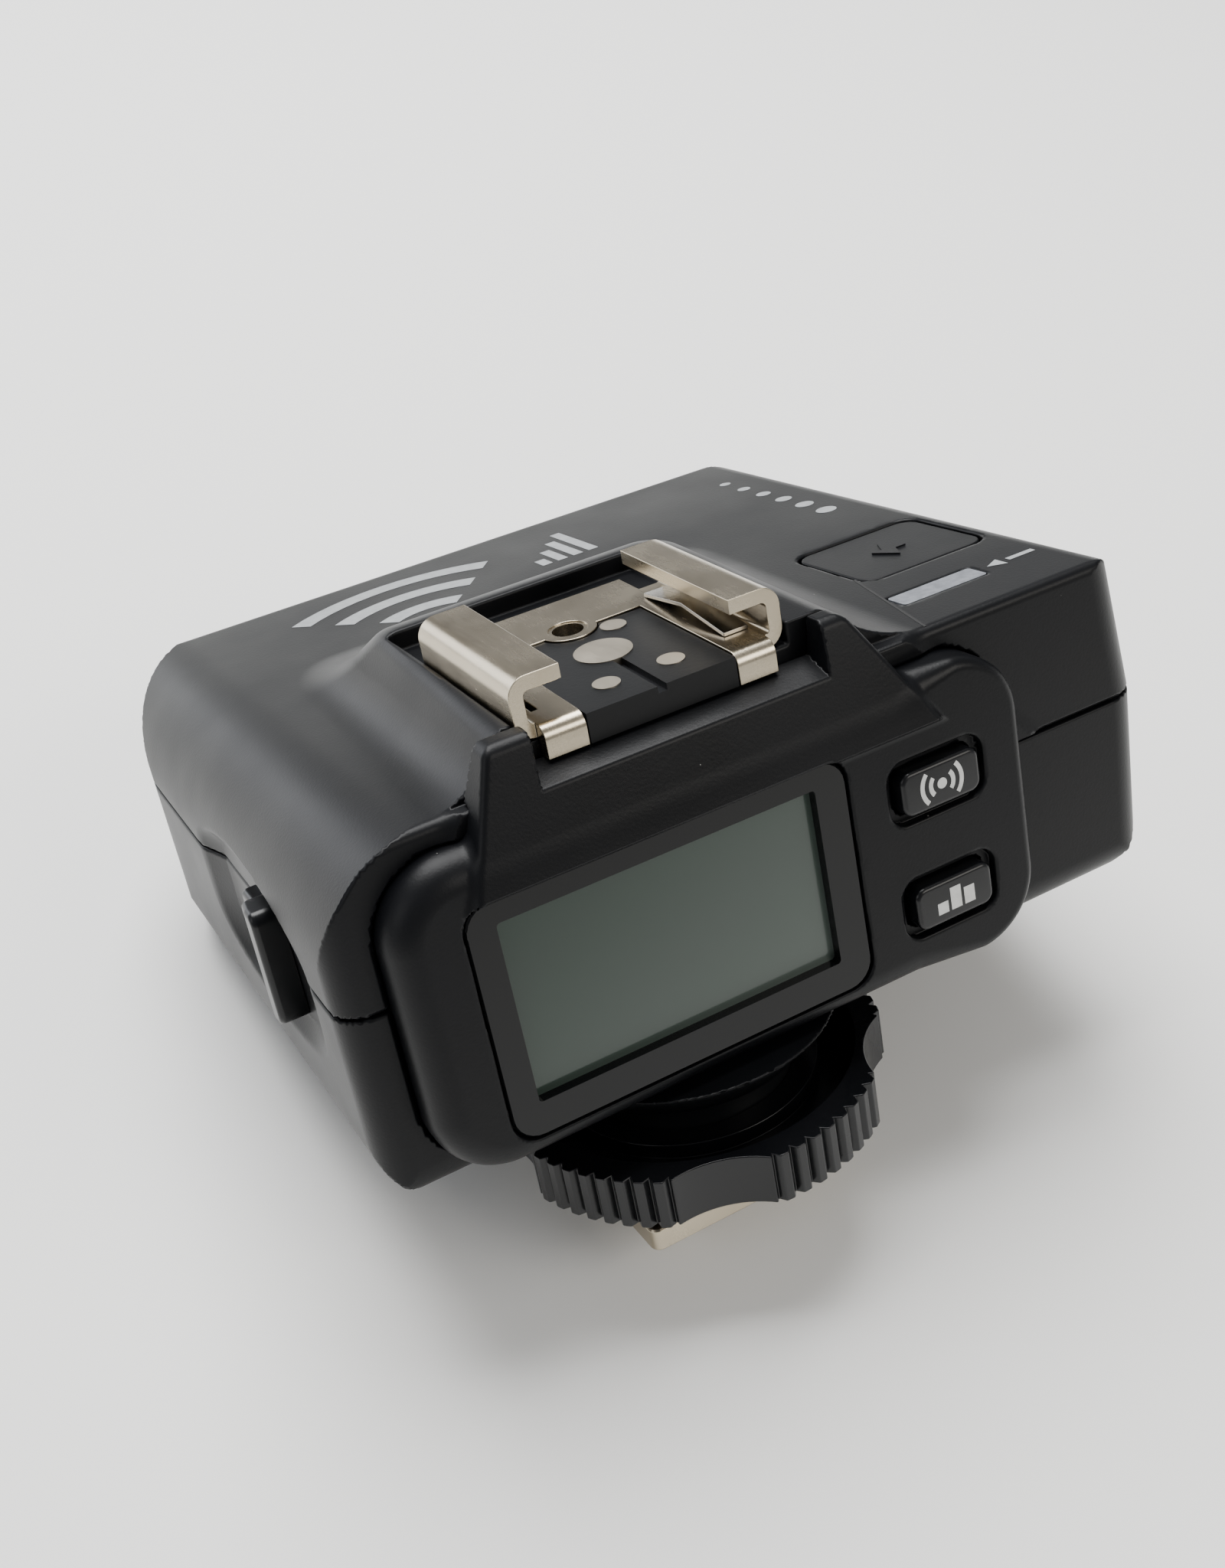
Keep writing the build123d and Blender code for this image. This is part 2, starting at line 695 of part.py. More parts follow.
def foot_screws():
    screws = []
    for x, y in foot_screw_spots:
        screw = screw_head(x, y, 0) + rod(x, y, (0.5, foot_thick + 4.0), foot_screw_r)
        for turn in (0, 90):
            screw = screw - Pos(x, y, 0.1) * Rot(0, 0, turn) * Box(1.8, 0.4, 0.7)
        screws.append(keep_solid(screw))
    return screws


def foot_stem():
    """The insulating spigot on the foot, the threaded stem above it and its flange inside the case."""
    stem = between((-spigot_width / 2, spigot_width / 2), (-spigot_length / 2, spigot_length / 2),
                   (foot_thick, stem_low + 1))
    stem = stem & rod(0, 0, (0, 20), stem_r)
    stem = stem + rod(0, 0, (stem_low, bezel_low - 2 * seat_gap), stem_r)
    flange_x, flange_top = (-stem_flange_x, stem_flange_x), flange_low + stem_flange_thick
    inside = between(flange_x, stem_flange_y, (flange_low - 1, 20))
    stem = stem + (rod(0, 0, (flange_low - 1, flange_top), stem_r) & inside)
    stem = stem + between(flange_x, stem_flange_y, (flange_low, flange_top))
    core = rod(0, 0, (stem_low + stem_wall, 20), stem_r - stem_wall)
    stem = stem - (core & between((-far, far), (stem_flange_y[0] + stem_wall, far), (0, far)))
    for _, x, y, radius in pin_rows():
        stem = stem - rod(x, y, (0, pin_length + 2), radius + run_gap)
    for x, y in foot_screw_spots:
        stem = stem - rod(x, y, (0, foot_thick + 4.2), foot_screw_r)
    for x, y in stem_screw_spots:
        stem = stem - rod(x, y, (flange_low - 1, flange_low + 5), stem_screw_r + seat_gap)
    return keep_solid(stem)


def stem_screws():
    top = flange_low + stem_flange_thick
    screws = []
    for x, y in stem_screw_spots:
        shank = rod(x, y, (flange_low - 1.2, top + 0.1), stem_screw_r)
        screws.append(keep_solid(shank + rod(x, y, (top, top + 0.9), stem_screw_head_r)))
    return screws


def pogo_pin(x, y, radius):
    low = foot_pin_sunk
    pin = rod(x, y, (low, low + pin_length), radius)
    return fillet(pin.edges().group_by(Axis.Z)[0], radius * 0.6)


def ring_outline():
    """Lobes of fine teeth with a smooth scallop between each two."""
    face = Circle(ring_r)
    lobe_pitch = 360 / ring_lobes
    half_gap = math.radians(lobe_pitch - ring_lobe_turn) / 2
    floor = ring_r - ring_scallop_depth
    reach = (ring_r ** 2 - floor ** 2) / (2 * (ring_r * math.cos(half_gap) - floor))
    tooth_pitch = ring_lobe_turn / ring_teeth
    notch_half = ring_r * math.radians(tooth_pitch) * 0.42
    notch_points = [(ring_r + 0.3, -notch_half), (ring_r - ring_tooth_depth, 0), (ring_r + 0.3, notch_half)]
    notch = make_face(Polyline(*notch_points, close=True))
    cuts = []
    for lobe in range(ring_lobes):
        middle = ring_first_lobe + lobe * lobe_pitch
        cuts.append(Rot(0, 0, middle + lobe_pitch / 2) * Pos(reach, 0) * Circle(reach - floor))
        for tooth in range(ring_teeth + 1):
            cuts.append(Rot(0, 0, middle + (tooth - ring_teeth / 2) * tooth_pitch) * notch)
    return face - cuts


def lock_ring():
    top = ring_bottom + ring_height
    low = ring_bottom + washer_proud
    hub_top = top - ring_hub_sunk
    ring = Pos(0, 0, low) * extrude(ring_outline(), top - low)
    dish = rod(0, 0, (top - ring_dish_depth, top + 1), ring_dish_r) - rod(0, 0, (0, hub_top), ring_hub_r)
    recess = rod(0, 0, (low - 1, ring_bottom + washer_thick + run_gap), washer_r + run_gap)
    return keep_solid(ring - dish - recess - rod(0, 0, (0, 20), stem_r + run_gap))


def clamp_washer():
    washer = rod(0, 0, (ring_bottom, ring_bottom + washer_thick), washer_r)
    hole = between((-spigot_width / 2 - slide_gap / 2, spigot_width / 2 + slide_gap / 2),
                   (-spigot_length / 2 - slide_gap / 2, spigot_length / 2 + slide_gap / 2), (0, 20))
    return keep_solid(washer - hole)


# ---- battery bay ------------------------------------------------------------------------------------
cell_z = inner_low + bay_floor_gap + cell_r
cell_rows = [cell_front - cell_r, cell_front - cell_r - cell_pitch]


def cell(row):
    """One AA cell; neighbours point opposite ways."""
    can = Rot(0, 90, 0) * Cylinder(cell_r, cell_length)
    tip = Rot(0, 90, 0) * Cylinder(cell_tip_r, cell_tip)
    reach = (cell_length + cell_tip) / 2
    way = 1 if row == 0 else -1
    return Pos(cell_left + cell_length / 2, cell_rows[row], cell_z) * (can + Pos(way * reach, 0, 0) * tip)


def battery_contacts():
    """A plate at each end of each cell, and a coil spring where the flat end sits."""
    pieces = []
    left_plate = cell_left - cell_tip - 2.2
    right_plate = cell_left + cell_length + cell_tip + 0.2
    for row, y in enumerate(cell_rows):
        for x in (left_plate, right_plate):
            pieces.append(between((x, x + 0.4), (y - 5.0, y + 5.0), (cell_z - 5.0, cell_z + 5.0)))
    for row, start, way in ((0, left_plate + 0.4, 1), (1, right_plate, -1)):
        gap = (cell_left - start) if way == 1 else start - (cell_left + cell_length)
        wire = 0.3
        turns = 3
        path = Helix(pitch=(gap - 2 * wire) / turns, height=gap - 2 * wire, radius=3.2)
        profile = Plane(origin=path @ 0, z_dir=path % 0) * Circle(wire)
        coil = sweep(profile, path=path)
        pieces.append(Pos(start + way * wire, cell_rows[row], cell_z) * Rot(0, 90 * way, 0) * coil)
    return pieces


# ---- electronics ------------------------------------------------------------------------------------
def main_board():
    board = between((inner_left + 1.6 + board_gap, inner_right - 1.0 - board_gap),
                    (inner_rear + 6.6, inner_front - 3.0 - board_gap), (board_low, board_low + board_thick))
    clip = case_front_left_round
    corner = between((case_left, case_left + clip), (case_front - clip, case_front), (board_low - 1, far))
    for x, y in boss_spots:
        board = board - rod(x, y, (board_low - 1, board_low + 3), boss_screw_r + 0.2)
    return keep_solid(board - corner)


def board_chips():
    """The processor and its neighbours on the main board's underside and top."""
    top = board_low + board_thick
    sizes = [(4.0, 22.0, 7.0, 7.0, 1.2), (-10.0, 10.0, 5.0, 4.0, 1.3), (16.0, 24.0, 4.0, 5.0, 1.0),
             (-2.0, 34.0, 3.0, 3.0, 0.8)]
    return [Pos(x, y, top + height / 2) * Box(wide, deep, height) for x, y, wide, deep, height in sizes]


def radio_module():
    top = board_low + board_thick
    return between((-14.0, 2.0), (40.5, 48.0), (top, top + 0.8))


def radio_shield():
    low = board_low + board_thick + 0.8
    can = between((-13.0, -1.0), (41.5, 47.0), (low, low + 1.7))
    return can - between((-12.8, -1.2), (41.7, 46.8), (low - 1, low + 1.5))


def antenna():
    """A bent wire antenna standing off the board's front edge."""
    top = board_low + board_thick
    path = FilletPolyline((6.0, 46.0, top), (6.0, 46.0, top + 1.7), (24.0, 46.0, top + 1.7), radius=1.0)
    return sweep(Plane(origin=path @ 0, z_dir=path % 0) * Circle(0.35), path=path)


def sync_jack():
    length = jack_depth + 1.2
    face = case_right - 0.3
    body = between((face - length, face - case_wall - 0.2), (jack_y - jack_body / 2, jack_y + jack_body / 2),
                   (jack_z - jack_body / 2, jack_z + jack_body / 2))
    collar = Pos(face - case_wall, jack_y, jack_z) * Rot(0, 90, 0) * Cylinder(jack_body / 2, 2 * case_wall)
    bore = Rot(0, 90, 0) * Cylinder(jack_bore_r, jack_depth + 1)
    return keep_solid(body + collar - Pos(face - jack_depth / 2 + 0.5, jack_y, jack_z) * bore)


def usb_port():
    face = case_right - 0.4
    shell = between((face - usb_depth, face), (usb_y - usb_width / 2, usb_y + usb_width / 2),
                    (jack_z - usb_height / 2, jack_z + usb_height / 2))
    inner = between((face - usb_depth + usb_sheet, face + 1),
                    (usb_y - usb_width / 2 + usb_sheet, usb_y + usb_width / 2 - usb_sheet),
                    (jack_z - usb_height / 2 + usb_sheet, jack_z + usb_height / 2 - usb_sheet))
    tongue = between((face - usb_depth, face - 0.8), (usb_y - 2.6, usb_y + 2.6), (jack_z + 0.1, jack_z + 0.7))
    return keep_solid(shell - inner + tongue)


def shell_screws():
    low = boss_head_low
    screws = []
    for x, y in boss_spots:
        head = rod(x, y, (low, low + boss_head_height), boss_head_r)
        screw = head + rod(x, y, (low + 0.5, screw_top), boss_screw_r)
        for turn in (0, 90):
            screw = screw - Pos(x, y, low) * Rot(0, 0, turn) * Box(2.2, 0.5, 1.2)
        screws.append(keep_solid(screw))
    return screws


# ---- write every node -------------------------------------------------------------------------------
lcd_near = bezel_plate + seat_gap
save("upper_shell", upper_shell())
save("lower_shell", lower_shell())
save("battery_door", keep_solid(battery_door_form(0)))
save("display_bezel", display_bezel())
save("display_window", slab(window_left, window_right, window_low, window_high, window_corner,
                            window_sink + window_thick - 0.02, -window_sink))
save("lcd_panel", lcd_layer(lcd_margin, lcd_near, lcd_thick))
save("backlight_frame", lcd_layer(lcd_margin, lcd_near + lcd_thick + 0.02, holder_thick))
for key_name in key_low:
    save(key_name + "_key", key(key_name))
save("key_switches", *[key_switch(key_name) for key_name in key_low])
save("key_board", key_board())
save("shoe_rails", shoe_rails())
save("shoe_spring", shoe_spring())
save("contact_carrier", contact_carrier())
middle_contact, *small_contacts = shoe_contacts()
save("middle_contact", middle_contact)
save("signal_contacts", *small_contacts)
save("pin_socket", pin_socket())
save("test_button", test_button())
save("test_switch", test_switch())
save("status_lens", status_lens())
save("status_led", status_led())
save("power_slider", power_slider())
save("power_switch", power_switch())
save("foot_plate", foot_plate())
save("foot_screws", *foot_screws())
save("foot_stem", foot_stem())
save("stem_screws", *stem_screws())
for pin_name, pin_x, pin_y, pin_radius in pin_rows():
    save(pin_name, pogo_pin(pin_x, pin_y, pin_radius))
save("lock_ring", lock_ring())
save("clamp_washer", clamp_washer())
save("battery_cells", cell(0), cell(1))
save("battery_contacts", *battery_contacts())
save("main_board", main_board())
save("board_chips", *board_chips())
save("radio_module", radio_module())
save("radio_shield", radio_shield())
save("antenna", antenna())
save("sync_jack", sync_jack())
save("usb_port", usb_port())
save("shell_screws", *shell_screws())
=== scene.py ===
"""Wireless flash trigger: the finished looks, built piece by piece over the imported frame."""

import json
import math

import bpy
import bmesh
import numpy as np
from mathutils import Matrix, Vector


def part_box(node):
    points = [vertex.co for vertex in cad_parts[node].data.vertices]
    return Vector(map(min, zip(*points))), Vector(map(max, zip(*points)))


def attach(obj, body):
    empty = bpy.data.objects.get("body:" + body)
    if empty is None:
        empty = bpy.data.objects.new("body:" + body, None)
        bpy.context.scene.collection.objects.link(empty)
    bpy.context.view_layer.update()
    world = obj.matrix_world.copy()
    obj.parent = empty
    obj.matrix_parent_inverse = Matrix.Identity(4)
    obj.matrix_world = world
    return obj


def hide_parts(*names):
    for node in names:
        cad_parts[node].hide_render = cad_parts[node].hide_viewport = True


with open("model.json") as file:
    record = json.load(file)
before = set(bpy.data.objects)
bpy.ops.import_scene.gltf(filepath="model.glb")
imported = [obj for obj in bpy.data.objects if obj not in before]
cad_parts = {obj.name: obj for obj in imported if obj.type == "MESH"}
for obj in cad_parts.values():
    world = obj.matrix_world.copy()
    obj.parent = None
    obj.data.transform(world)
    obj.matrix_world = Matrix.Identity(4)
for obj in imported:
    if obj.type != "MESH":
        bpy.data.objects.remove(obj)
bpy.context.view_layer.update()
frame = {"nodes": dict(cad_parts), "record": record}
MM = 0.001


# ---- Camera, floor and light ------------------------------------------------------------------------
# The trigger stands on its foot and leans forward until the case's front edge touches the table too.
# The table is a pale matt sheet, and the light comes from large soft sources above and behind.
def colour(text):
    """An sRGB hex colour as linear RGBA."""
    parts = [int(text[i:i + 2], 16) / 255 for i in (1, 3, 5)]
    return [c / 12.92 if c <= 0.04045 else ((c + 0.055) / 1.055) ** 2.4 for c in parts] + [1.0]


def add(tree, kind, settings=None, **links):
    """Add one node; settings are its properties or a ramp's stops, links are values or other sockets."""
    node = tree.nodes.new(kind)
    settings = dict(settings or {})
    for k, (position, text) in enumerate(settings.pop("stops", ())):
        stop = node.color_ramp.elements[k]
        stop.position, stop.color = position, colour(text)
    for name, value in settings.items():
        setattr(node, name, value)
    for name, value in links.items():
        socket = node.inputs[int(name[1:])] if name[0] == "i" and name[1:].isdigit() else \
            node.inputs[name.replace("_", " ")]
        if isinstance(value, bpy.types.NodeSocket):
            tree.links.new(value, socket)
        else:
            socket.default_value = value
    return node


def material(name):
    """A new node material with its Principled shader."""
    finish = bpy.data.materials.new(name)
    finish.use_nodes = True
    return finish, finish.node_tree, finish.node_tree.nodes["Principled BSDF"]


def put(name, mesh_or_curve, finish, body="case"):
    """Place a finished mesh or curve in the scene, riding on a body."""
    piece = bpy.data.objects.new(name, mesh_or_curve)
    bpy.context.scene.collection.objects.link(piece)
    mesh_or_curve.materials.append(finish)
    if body:
        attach(piece, body)
    return piece


AZIMUTH, ELEVATION, ROLL = (math.radians(a) for a in (-22.94, 25.94, -11.05))
AIM = Vector((10.74, 31.26, 19.04)) * MM
DISTANCE = 163.9 * MM
LENS_MM = 40.41
SENSOR_MM = 36.0
back = Vector((math.sin(AZIMUTH) * math.cos(ELEVATION), -math.cos(AZIMUTH) * math.cos(ELEVATION),
               math.sin(ELEVATION)))
level = (-back).cross(Vector((0, 0, 1))).normalized()
upright = level.cross(-back)
right = math.cos(ROLL) * level + math.sin(ROLL) * upright
up = math.cos(ROLL) * upright - math.sin(ROLL) * level
lens_data = bpy.data.cameras.new("camera")
lens_data.sensor_width = SENSOR_MM
lens_data.lens = LENS_MM
lens_data.shift_x = 0.0088
lens_data.shift_y = -0.0115
lens_data.clip_start = 0.005
camera = bpy.data.objects.new("camera", lens_data)
turn = Matrix((right, up, back)).transposed().to_4x4()
camera.matrix_world = Matrix.Translation(AIM + back * DISTANCE) @ turn
bpy.context.scene.collection.objects.link(camera)
bpy.context.scene.camera = camera

LEAN = math.radians(16.6)         # of the table against the foot's underside
TABLE_HALF = 1.6                  # metres, so that its far edge stays out of the way
foot_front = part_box("foot_plate")[1][1]
table = bmesh.new()
bmesh.ops.create_grid(table, x_segments=1, y_segments=1, size=TABLE_HALF)
table_mesh = bpy.data.meshes.new("table")
table.to_mesh(table_mesh)
table.free()
table_finish, _, shader = material("matt_paper_sheet")
shader.inputs["Base Color"].default_value = colour("#f3f3f1")
shader.inputs["Roughness"].default_value = 0.85
table_piece = put("table_sheet", table_mesh, table_finish, body=None)
table_piece.matrix_world = Matrix.Translation((0, foot_front, 0)) @ Matrix.Rotation(LEAN, 4, "X")


def softbox(name, place, aim, size, power, tint):
    """A large soft lamp at a place, in millimetres, turned towards a point."""
    data = bpy.data.lights.new(name, "AREA")
    data.shape = "RECTANGLE"
    data.size, data.size_y = (s * MM for s in size)
    data.energy = power
    data.color = colour(tint)[:3]
    lamp = bpy.data.objects.new(name, data)
    lamp.location = Vector(place) * MM
    lamp.rotation_euler = (Vector(aim) - Vector(place)).to_track_quat("-Z", "Y").to_euler()
    bpy.context.scene.collection.objects.link(lamp)


softbox("top_softbox", (40, 120, 640), (0, 20, 20), (460, 460), 9.0, "#ffffff")
softbox("window_softbox", (-220, 460, 300), (0, 20, 20), (300, 260), 0.9, "#f6f9ff")
softbox("side_softbox", (-460, -120, 260), (0, 10, 20), (240, 240), 0.35, "#ffffff")
softbox("rear_fill", (260, -460, 240), (0, 0, 20), (300, 240), 1.4, "#fffaf2")
world = bpy.data.worlds.new("studio")
bpy.context.scene.world = world
world.use_nodes = True
background = world.node_tree.nodes["Background"]
background.inputs["Color"].default_value = colour("#f2f3f5")
background.inputs["Strength"].default_value = 0.3


# ---- Case: upper and lower shells -------------------------------------------------------------------
# Two injection-moulded ABS shells, 1.8 mm thick, that meet at a fine shadow line round the middle.
# The upper one falls forward, has a broad rounded shoulder on the left, and carries the shoe block.
def meet(a, b, radius=0.0):
    """Intersection of two distance fields, with its edge rounded."""
    u, v = np.maximum(a + radius, 0), np.maximum(b + radius, 0)
    return np.minimum(np.maximum(a, b), -radius) + np.sqrt(u * u + v * v)


def join(a, b, radius=0.0):
    """Union of two distance fields, with the corner between them filled."""
    return -meet(-a, -b, radius)


def cut(a, b, radius=0.0):
    """The first field less the second, with the rim rounded."""
    return meet(a, -b, radius)


def box_field(x, y, z, wide, deep, tall, radius=0.0):
    """A box between limits on each axis, its upright edges rounded."""
    a = np.maximum(wide[0] - x, x - wide[1])
    b = np.maximum(deep[0] - y, y - deep[1])
    c = np.maximum(tall[0] - z, z - tall[1])
    return np.maximum(meet(a, b, radius), c)


NEWTON_STEPS = 3                  # that bring each corner onto the surface
FIT_REACH, SHADE_REACH = 0.02, 0.06    # mm, over which a field's slope is measured


def skin(name, field, low, high, step, keep=0.3):
    """A closed mesh, in metres, of where a distance field in millimetres is zero, thinned to a share."""
    axes = [np.arange(a - 1.5 * step, b + 2.5 * step, step) for a, b in zip(low, high)]
    grid = np.meshgrid(*axes, indexing="ij")
    values = field(*grid)
    inside = values < 0
    shape = tuple(n - 1 for n in inside.shape)
    count = np.zeros(shape, int)
    total = np.zeros(shape + (3,))
    hits = np.zeros(shape)
    corner = [slice(0, -1), slice(1, None)]
    for bits in np.ndindex(2, 2, 2):
        count += inside[tuple(corner[b] for b in bits)]
    mixed = (count > 0) & (count < 8)
    for axis in range(3):
        for bits in np.ndindex(2, 2):
            first, second = list(bits), list(bits)
            first.insert(axis, 0)
            second.insert(axis, 1)
            f0 = values[tuple(corner[b] for b in first)]
            f1 = values[tuple(corner[b] for b in second)]
            crossed = (f0 < 0) != (f1 < 0)
            t = np.where(crossed, f0 / np.where(crossed, f0 - f1, 1), 0)
            for k in range(3):
                total[..., k] += np.where(crossed, t if k == axis else first[k], 0)
            hits += crossed
    index = np.full(shape, -1)
    index[mixed] = np.arange(mixed.sum())
    cells = np.argwhere(mixed)
    origin = np.array([a[0] for a in axes])
    points = origin + step * (cells + total[mixed] / hits[mixed][:, None])

    def slope_at(p, reach):
        sides = []
        for k in range(3):
            nudge = np.zeros(3)
            nudge[k] = reach
            sides.append((field(*(p + nudge).T) - field(*(p - nudge).T)) / (2 * reach))
        return np.stack(sides, axis=1)

    for _ in range(NEWTON_STEPS):
        slope = slope_at(points, FIT_REACH)
        size = np.maximum((slope * slope).sum(axis=1), 0.3)
        move = -field(*points.T)[:, None] * slope / size[:, None]
        points += np.clip(move, -0.5 * step, 0.5 * step)
    faces = []
    for axis in range(3):
        a, b = [k for k in range(3) if k != axis]
        f0 = np.take(inside, range(0, inside.shape[axis] - 1), axis)
        f1 = np.take(inside, range(1, inside.shape[axis]), axis)
        for flip in (False, True):
            where = np.argwhere((f0 & ~f1) if not flip else (~f0 & f1))
            where = where[(where[:, a] > 0) & (where[:, b] > 0)]
            ring = []
            for da, db in ((0, 0), (1, 0), (1, 1), (0, 1)):
                spot = where.copy()
                spot[:, a] -= da
                spot[:, b] -= db
                ring.append(index[tuple(spot.T)])
            quad = np.stack(ring, axis=1)
            if flip != (axis == 1):
                quad = quad[:, ::-1]
            faces.append(quad)
    faces = np.concatenate(faces)
    mesh = bpy.data.meshes.new(name)
    mesh.from_pydata(points * MM, [], faces)
    rough = bpy.data.objects.new(name + "_rough", mesh)
    bpy.context.scene.collection.objects.link(rough)
    thin = rough.modifiers.new("thin", "DECIMATE")
    thin.ratio = keep
    ready = rough.evaluated_get(bpy.context.evaluated_depsgraph_get())
    mesh = bpy.data.meshes.new_from_object(ready)
    bpy.data.objects.remove(rough)
    spots = np.empty(len(mesh.vertices) * 3)
    mesh.vertices.foreach_get("co", spots)
    spots = spots.reshape(-1, 3) / MM
    normals = slope_at(spots, SHADE_REACH)
    normals /= np.maximum(np.linalg.norm(normals, axis=1, keepdims=True), 1e-6)
    mesh.polygons.foreach_set("use_smooth", [True] * len(mesh.polygons))
    mesh.normals_split_custom_set_from_vertices(normals)
    return mesh


def node_box(name):
    """A CAD node's lowest and highest corners, in millimetres."""
    return [[c / MM for c in corner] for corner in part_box(name)]


upper_box = node_box("upper_shell")
WALL = 1.8
LEFT, RIGHT = -27.0, node_box("lower_shell")[1][0]
REAR, FRONT = upper_box[0][1], upper_box[1][1]
BOTTOM, SEAM = 12.2, 28.1
ROOF = 39.9
CEILING = 37.2                    # inside the top, at the rear
FALL = math.radians(3.7)          # slope of the top, falling forward
RIGHT_DRAFT = 1.8                 # how far the right wall leans in, from the seam to the top
SHADOW_GAP = 0.1                  # half the line between the shells
FAR = 80.0                        # past the object on every side


def roof_height(y):
    """The top's height, which falls forward."""
    return ROOF - (y - REAR) * math.tan(FALL)


def case_field(x, y, z, inset=0.0):
    """The whole case, or the same form brought in on every side."""
    lean_in = RIGHT_DRAFT * np.clip((z - SEAM) / (ROOF - SEAM), 0, 1.2)
    planes = (LEFT - x, (x - RIGHT + lean_in) * 0.985, REAR - y, y - FRONT,
              BOTTOM - z, (z - roof_height(y)) * math.cos(FALL))
    left, right_wall, rear, front, floor, roof = (plane + inset for plane in planes)
    edges = (
        (left, front, 14.0), (right_wall, front, 7.0), (left, rear, 2.6), (right_wall, rear, 3.2),
        (left, roof, 8.6), (right_wall, roof, 2.2), (front, roof, 2.4), (rear, roof, 0.8),
        (left, floor, 5.0), (right_wall, floor, 6.5), (front, floor, 5.0), (rear, floor, 3.0),
    )
    form = None
    for a, b, radius in edges:
        pair = meet(a, b, max(radius - inset, 0.3))
        form = pair if form is None else np.maximum(form, pair)
    return form


BLOCK_TOP = 44.0
BLOCK_BASE = 38.2
BLOCK_REAR, BLOCK_FRONT = -6.3, 18.6
BLOCK_LEFT, BLOCK_RIGHT = -12.1, 14.2      # at its top, like the front
BLOCK_FILLET = 2.6                # between the block and the top
shoe_low, shoe_high = node_box("shoe_rails")
SHOE_GAP = 0.1
PIT_FRONT, PIT_FLOOR = 16.4, 42.35


def block_field(x, y, z):
    """The raised block under the shoe, with sloping sides and a long ramp in front."""
    rise = BLOCK_TOP - BLOCK_BASE
    down = BLOCK_TOP - z
    left = (0.045 * (y + 6) + BLOCK_LEFT - x - down * (3.1 - 0.03 * (y + 6)) / rise) * 0.88
    side = (x - BLOCK_RIGHT - down * 5.2 / rise) * 0.75
    ramp = (y - BLOCK_FRONT - down * 8.9 / rise) * 0.55
    form = np.maximum(meet(left, ramp, 1.6), meet(side, ramp, 2.0))
    form = meet(form, z - BLOCK_TOP, 1.0)
    return np.maximum(form, BLOCK_REAR - y)


def upper_field(x, y, z):
    """The upper shell, hollow, with its openings."""
    form = join(case_field(x, y, z), block_field(x, y, z), BLOCK_FILLET)
    form = cut(form, np.maximum(y - BLOCK_REAR, ROOF - z))
    form = np.maximum(form, SEAM + SHADOW_GAP - z)
    hollow = np.maximum(case_field(x, y, z, WALL), z - CEILING + (y - REAR) * math.tan(FALL))
    form = cut(form, hollow)
    pit = box_field(x, y, z, (shoe_low[0] - SHOE_GAP, shoe_high[0] + SHOE_GAP), (-FAR, PIT_FRONT),
                    (PIT_FLOOR, FAR), 0.4)
    form = cut(form, pit, 0.25)
    form = cut(form, button_well(x, y, z), 0.2)
    form = cut(form, lamp_well(x, y, z), 0.15)
    form = cut(form, bezel_seat(x, y, z), 0.1)
    return cut(form, slider_scoop(x, y, z), 0.2)


def well(node, gap, corner):
    """The opening in the top that a cap sits in, open below it."""
    low, high = node_box(node)
    return lambda x, y, z: box_field(
        x, y, z, (low[0] - gap, high[0] + gap), (low[1] - gap, high[1] + gap), (low[2] - 3, FAR), corner)


button_well = well("test_button", 0.3, 1.9)
lamp_well = well("status_lens", 0.12, 0.4)
PANEL_LEAN = math.radians(2.1)
PANEL_Y, PANEL_Z = -10.6, 21.0
BEZEL = (-23.4, 27.1, 14.0, 38.2)      # left, right, low and high on the panel
BEZEL_CORNER = 5.6
BEZEL_DEEP = 5.2
SEAT_GAP = 0.12                   # round the bezel


def panel_axes(x, y, z):
    """Across, up and out of the leaning display panel."""
    s, c = math.sin(PANEL_LEAN), math.cos(PANEL_LEAN)
    return x, (y - PANEL_Y) * s + (z - PANEL_Z) * c + PANEL_Z, (z - PANEL_Z) * s - (y - PANEL_Y) * c


def panel_rect(u, v, limits, corner, grow=0.0):
    """A rounded outline on the panel from its left, right, low and high limits, grown all round."""
    left, right_edge, low, high = limits
    a = np.maximum(left - grow - u, u - right_edge - grow)
    b = np.maximum(low - grow - v, v - high - grow)
    return meet(a, b, corner)


def bezel_seat(x, y, z):
    """The recess in the case's back that the bezel drops into."""
    u, v, w = panel_axes(x, y, z)
    return np.maximum(panel_rect(u, v, BEZEL, BEZEL_CORNER + 0.1, SEAT_GAP), -w - 6.0)


slider_low, slider_high = node_box("power_slider")
SCOOP_HALF_LONG, SCOOP_HALF_TALL = 13.5, 6.4
SCOOP_DEEP = 1.05


def slider_scoop(x, y, z):
    """A finger scoop in the left wall that the slider's tab stands in."""
    middle_y, middle_z = slider_low[1] + 8.0, (slider_low[2] + slider_high[2]) / 2
    along, rise = (y - middle_y) / SCOOP_HALF_LONG, (z - middle_z) / SCOOP_HALF_TALL
    depth = np.clip(2.4 * (1 - along * along - rise ** 4), -1.0, SCOOP_DEEP)
    return np.maximum((x - LEFT - depth) * 0.8, LEFT - 4 - x)


door_low, door_high = node_box("battery_door")
DOOR_GAP = 0.25
NECK_LOW, NECK_R = 10.6, 9.9
STEM_BORE_R, STEM_BORE_TOP = 8.5, 14.6


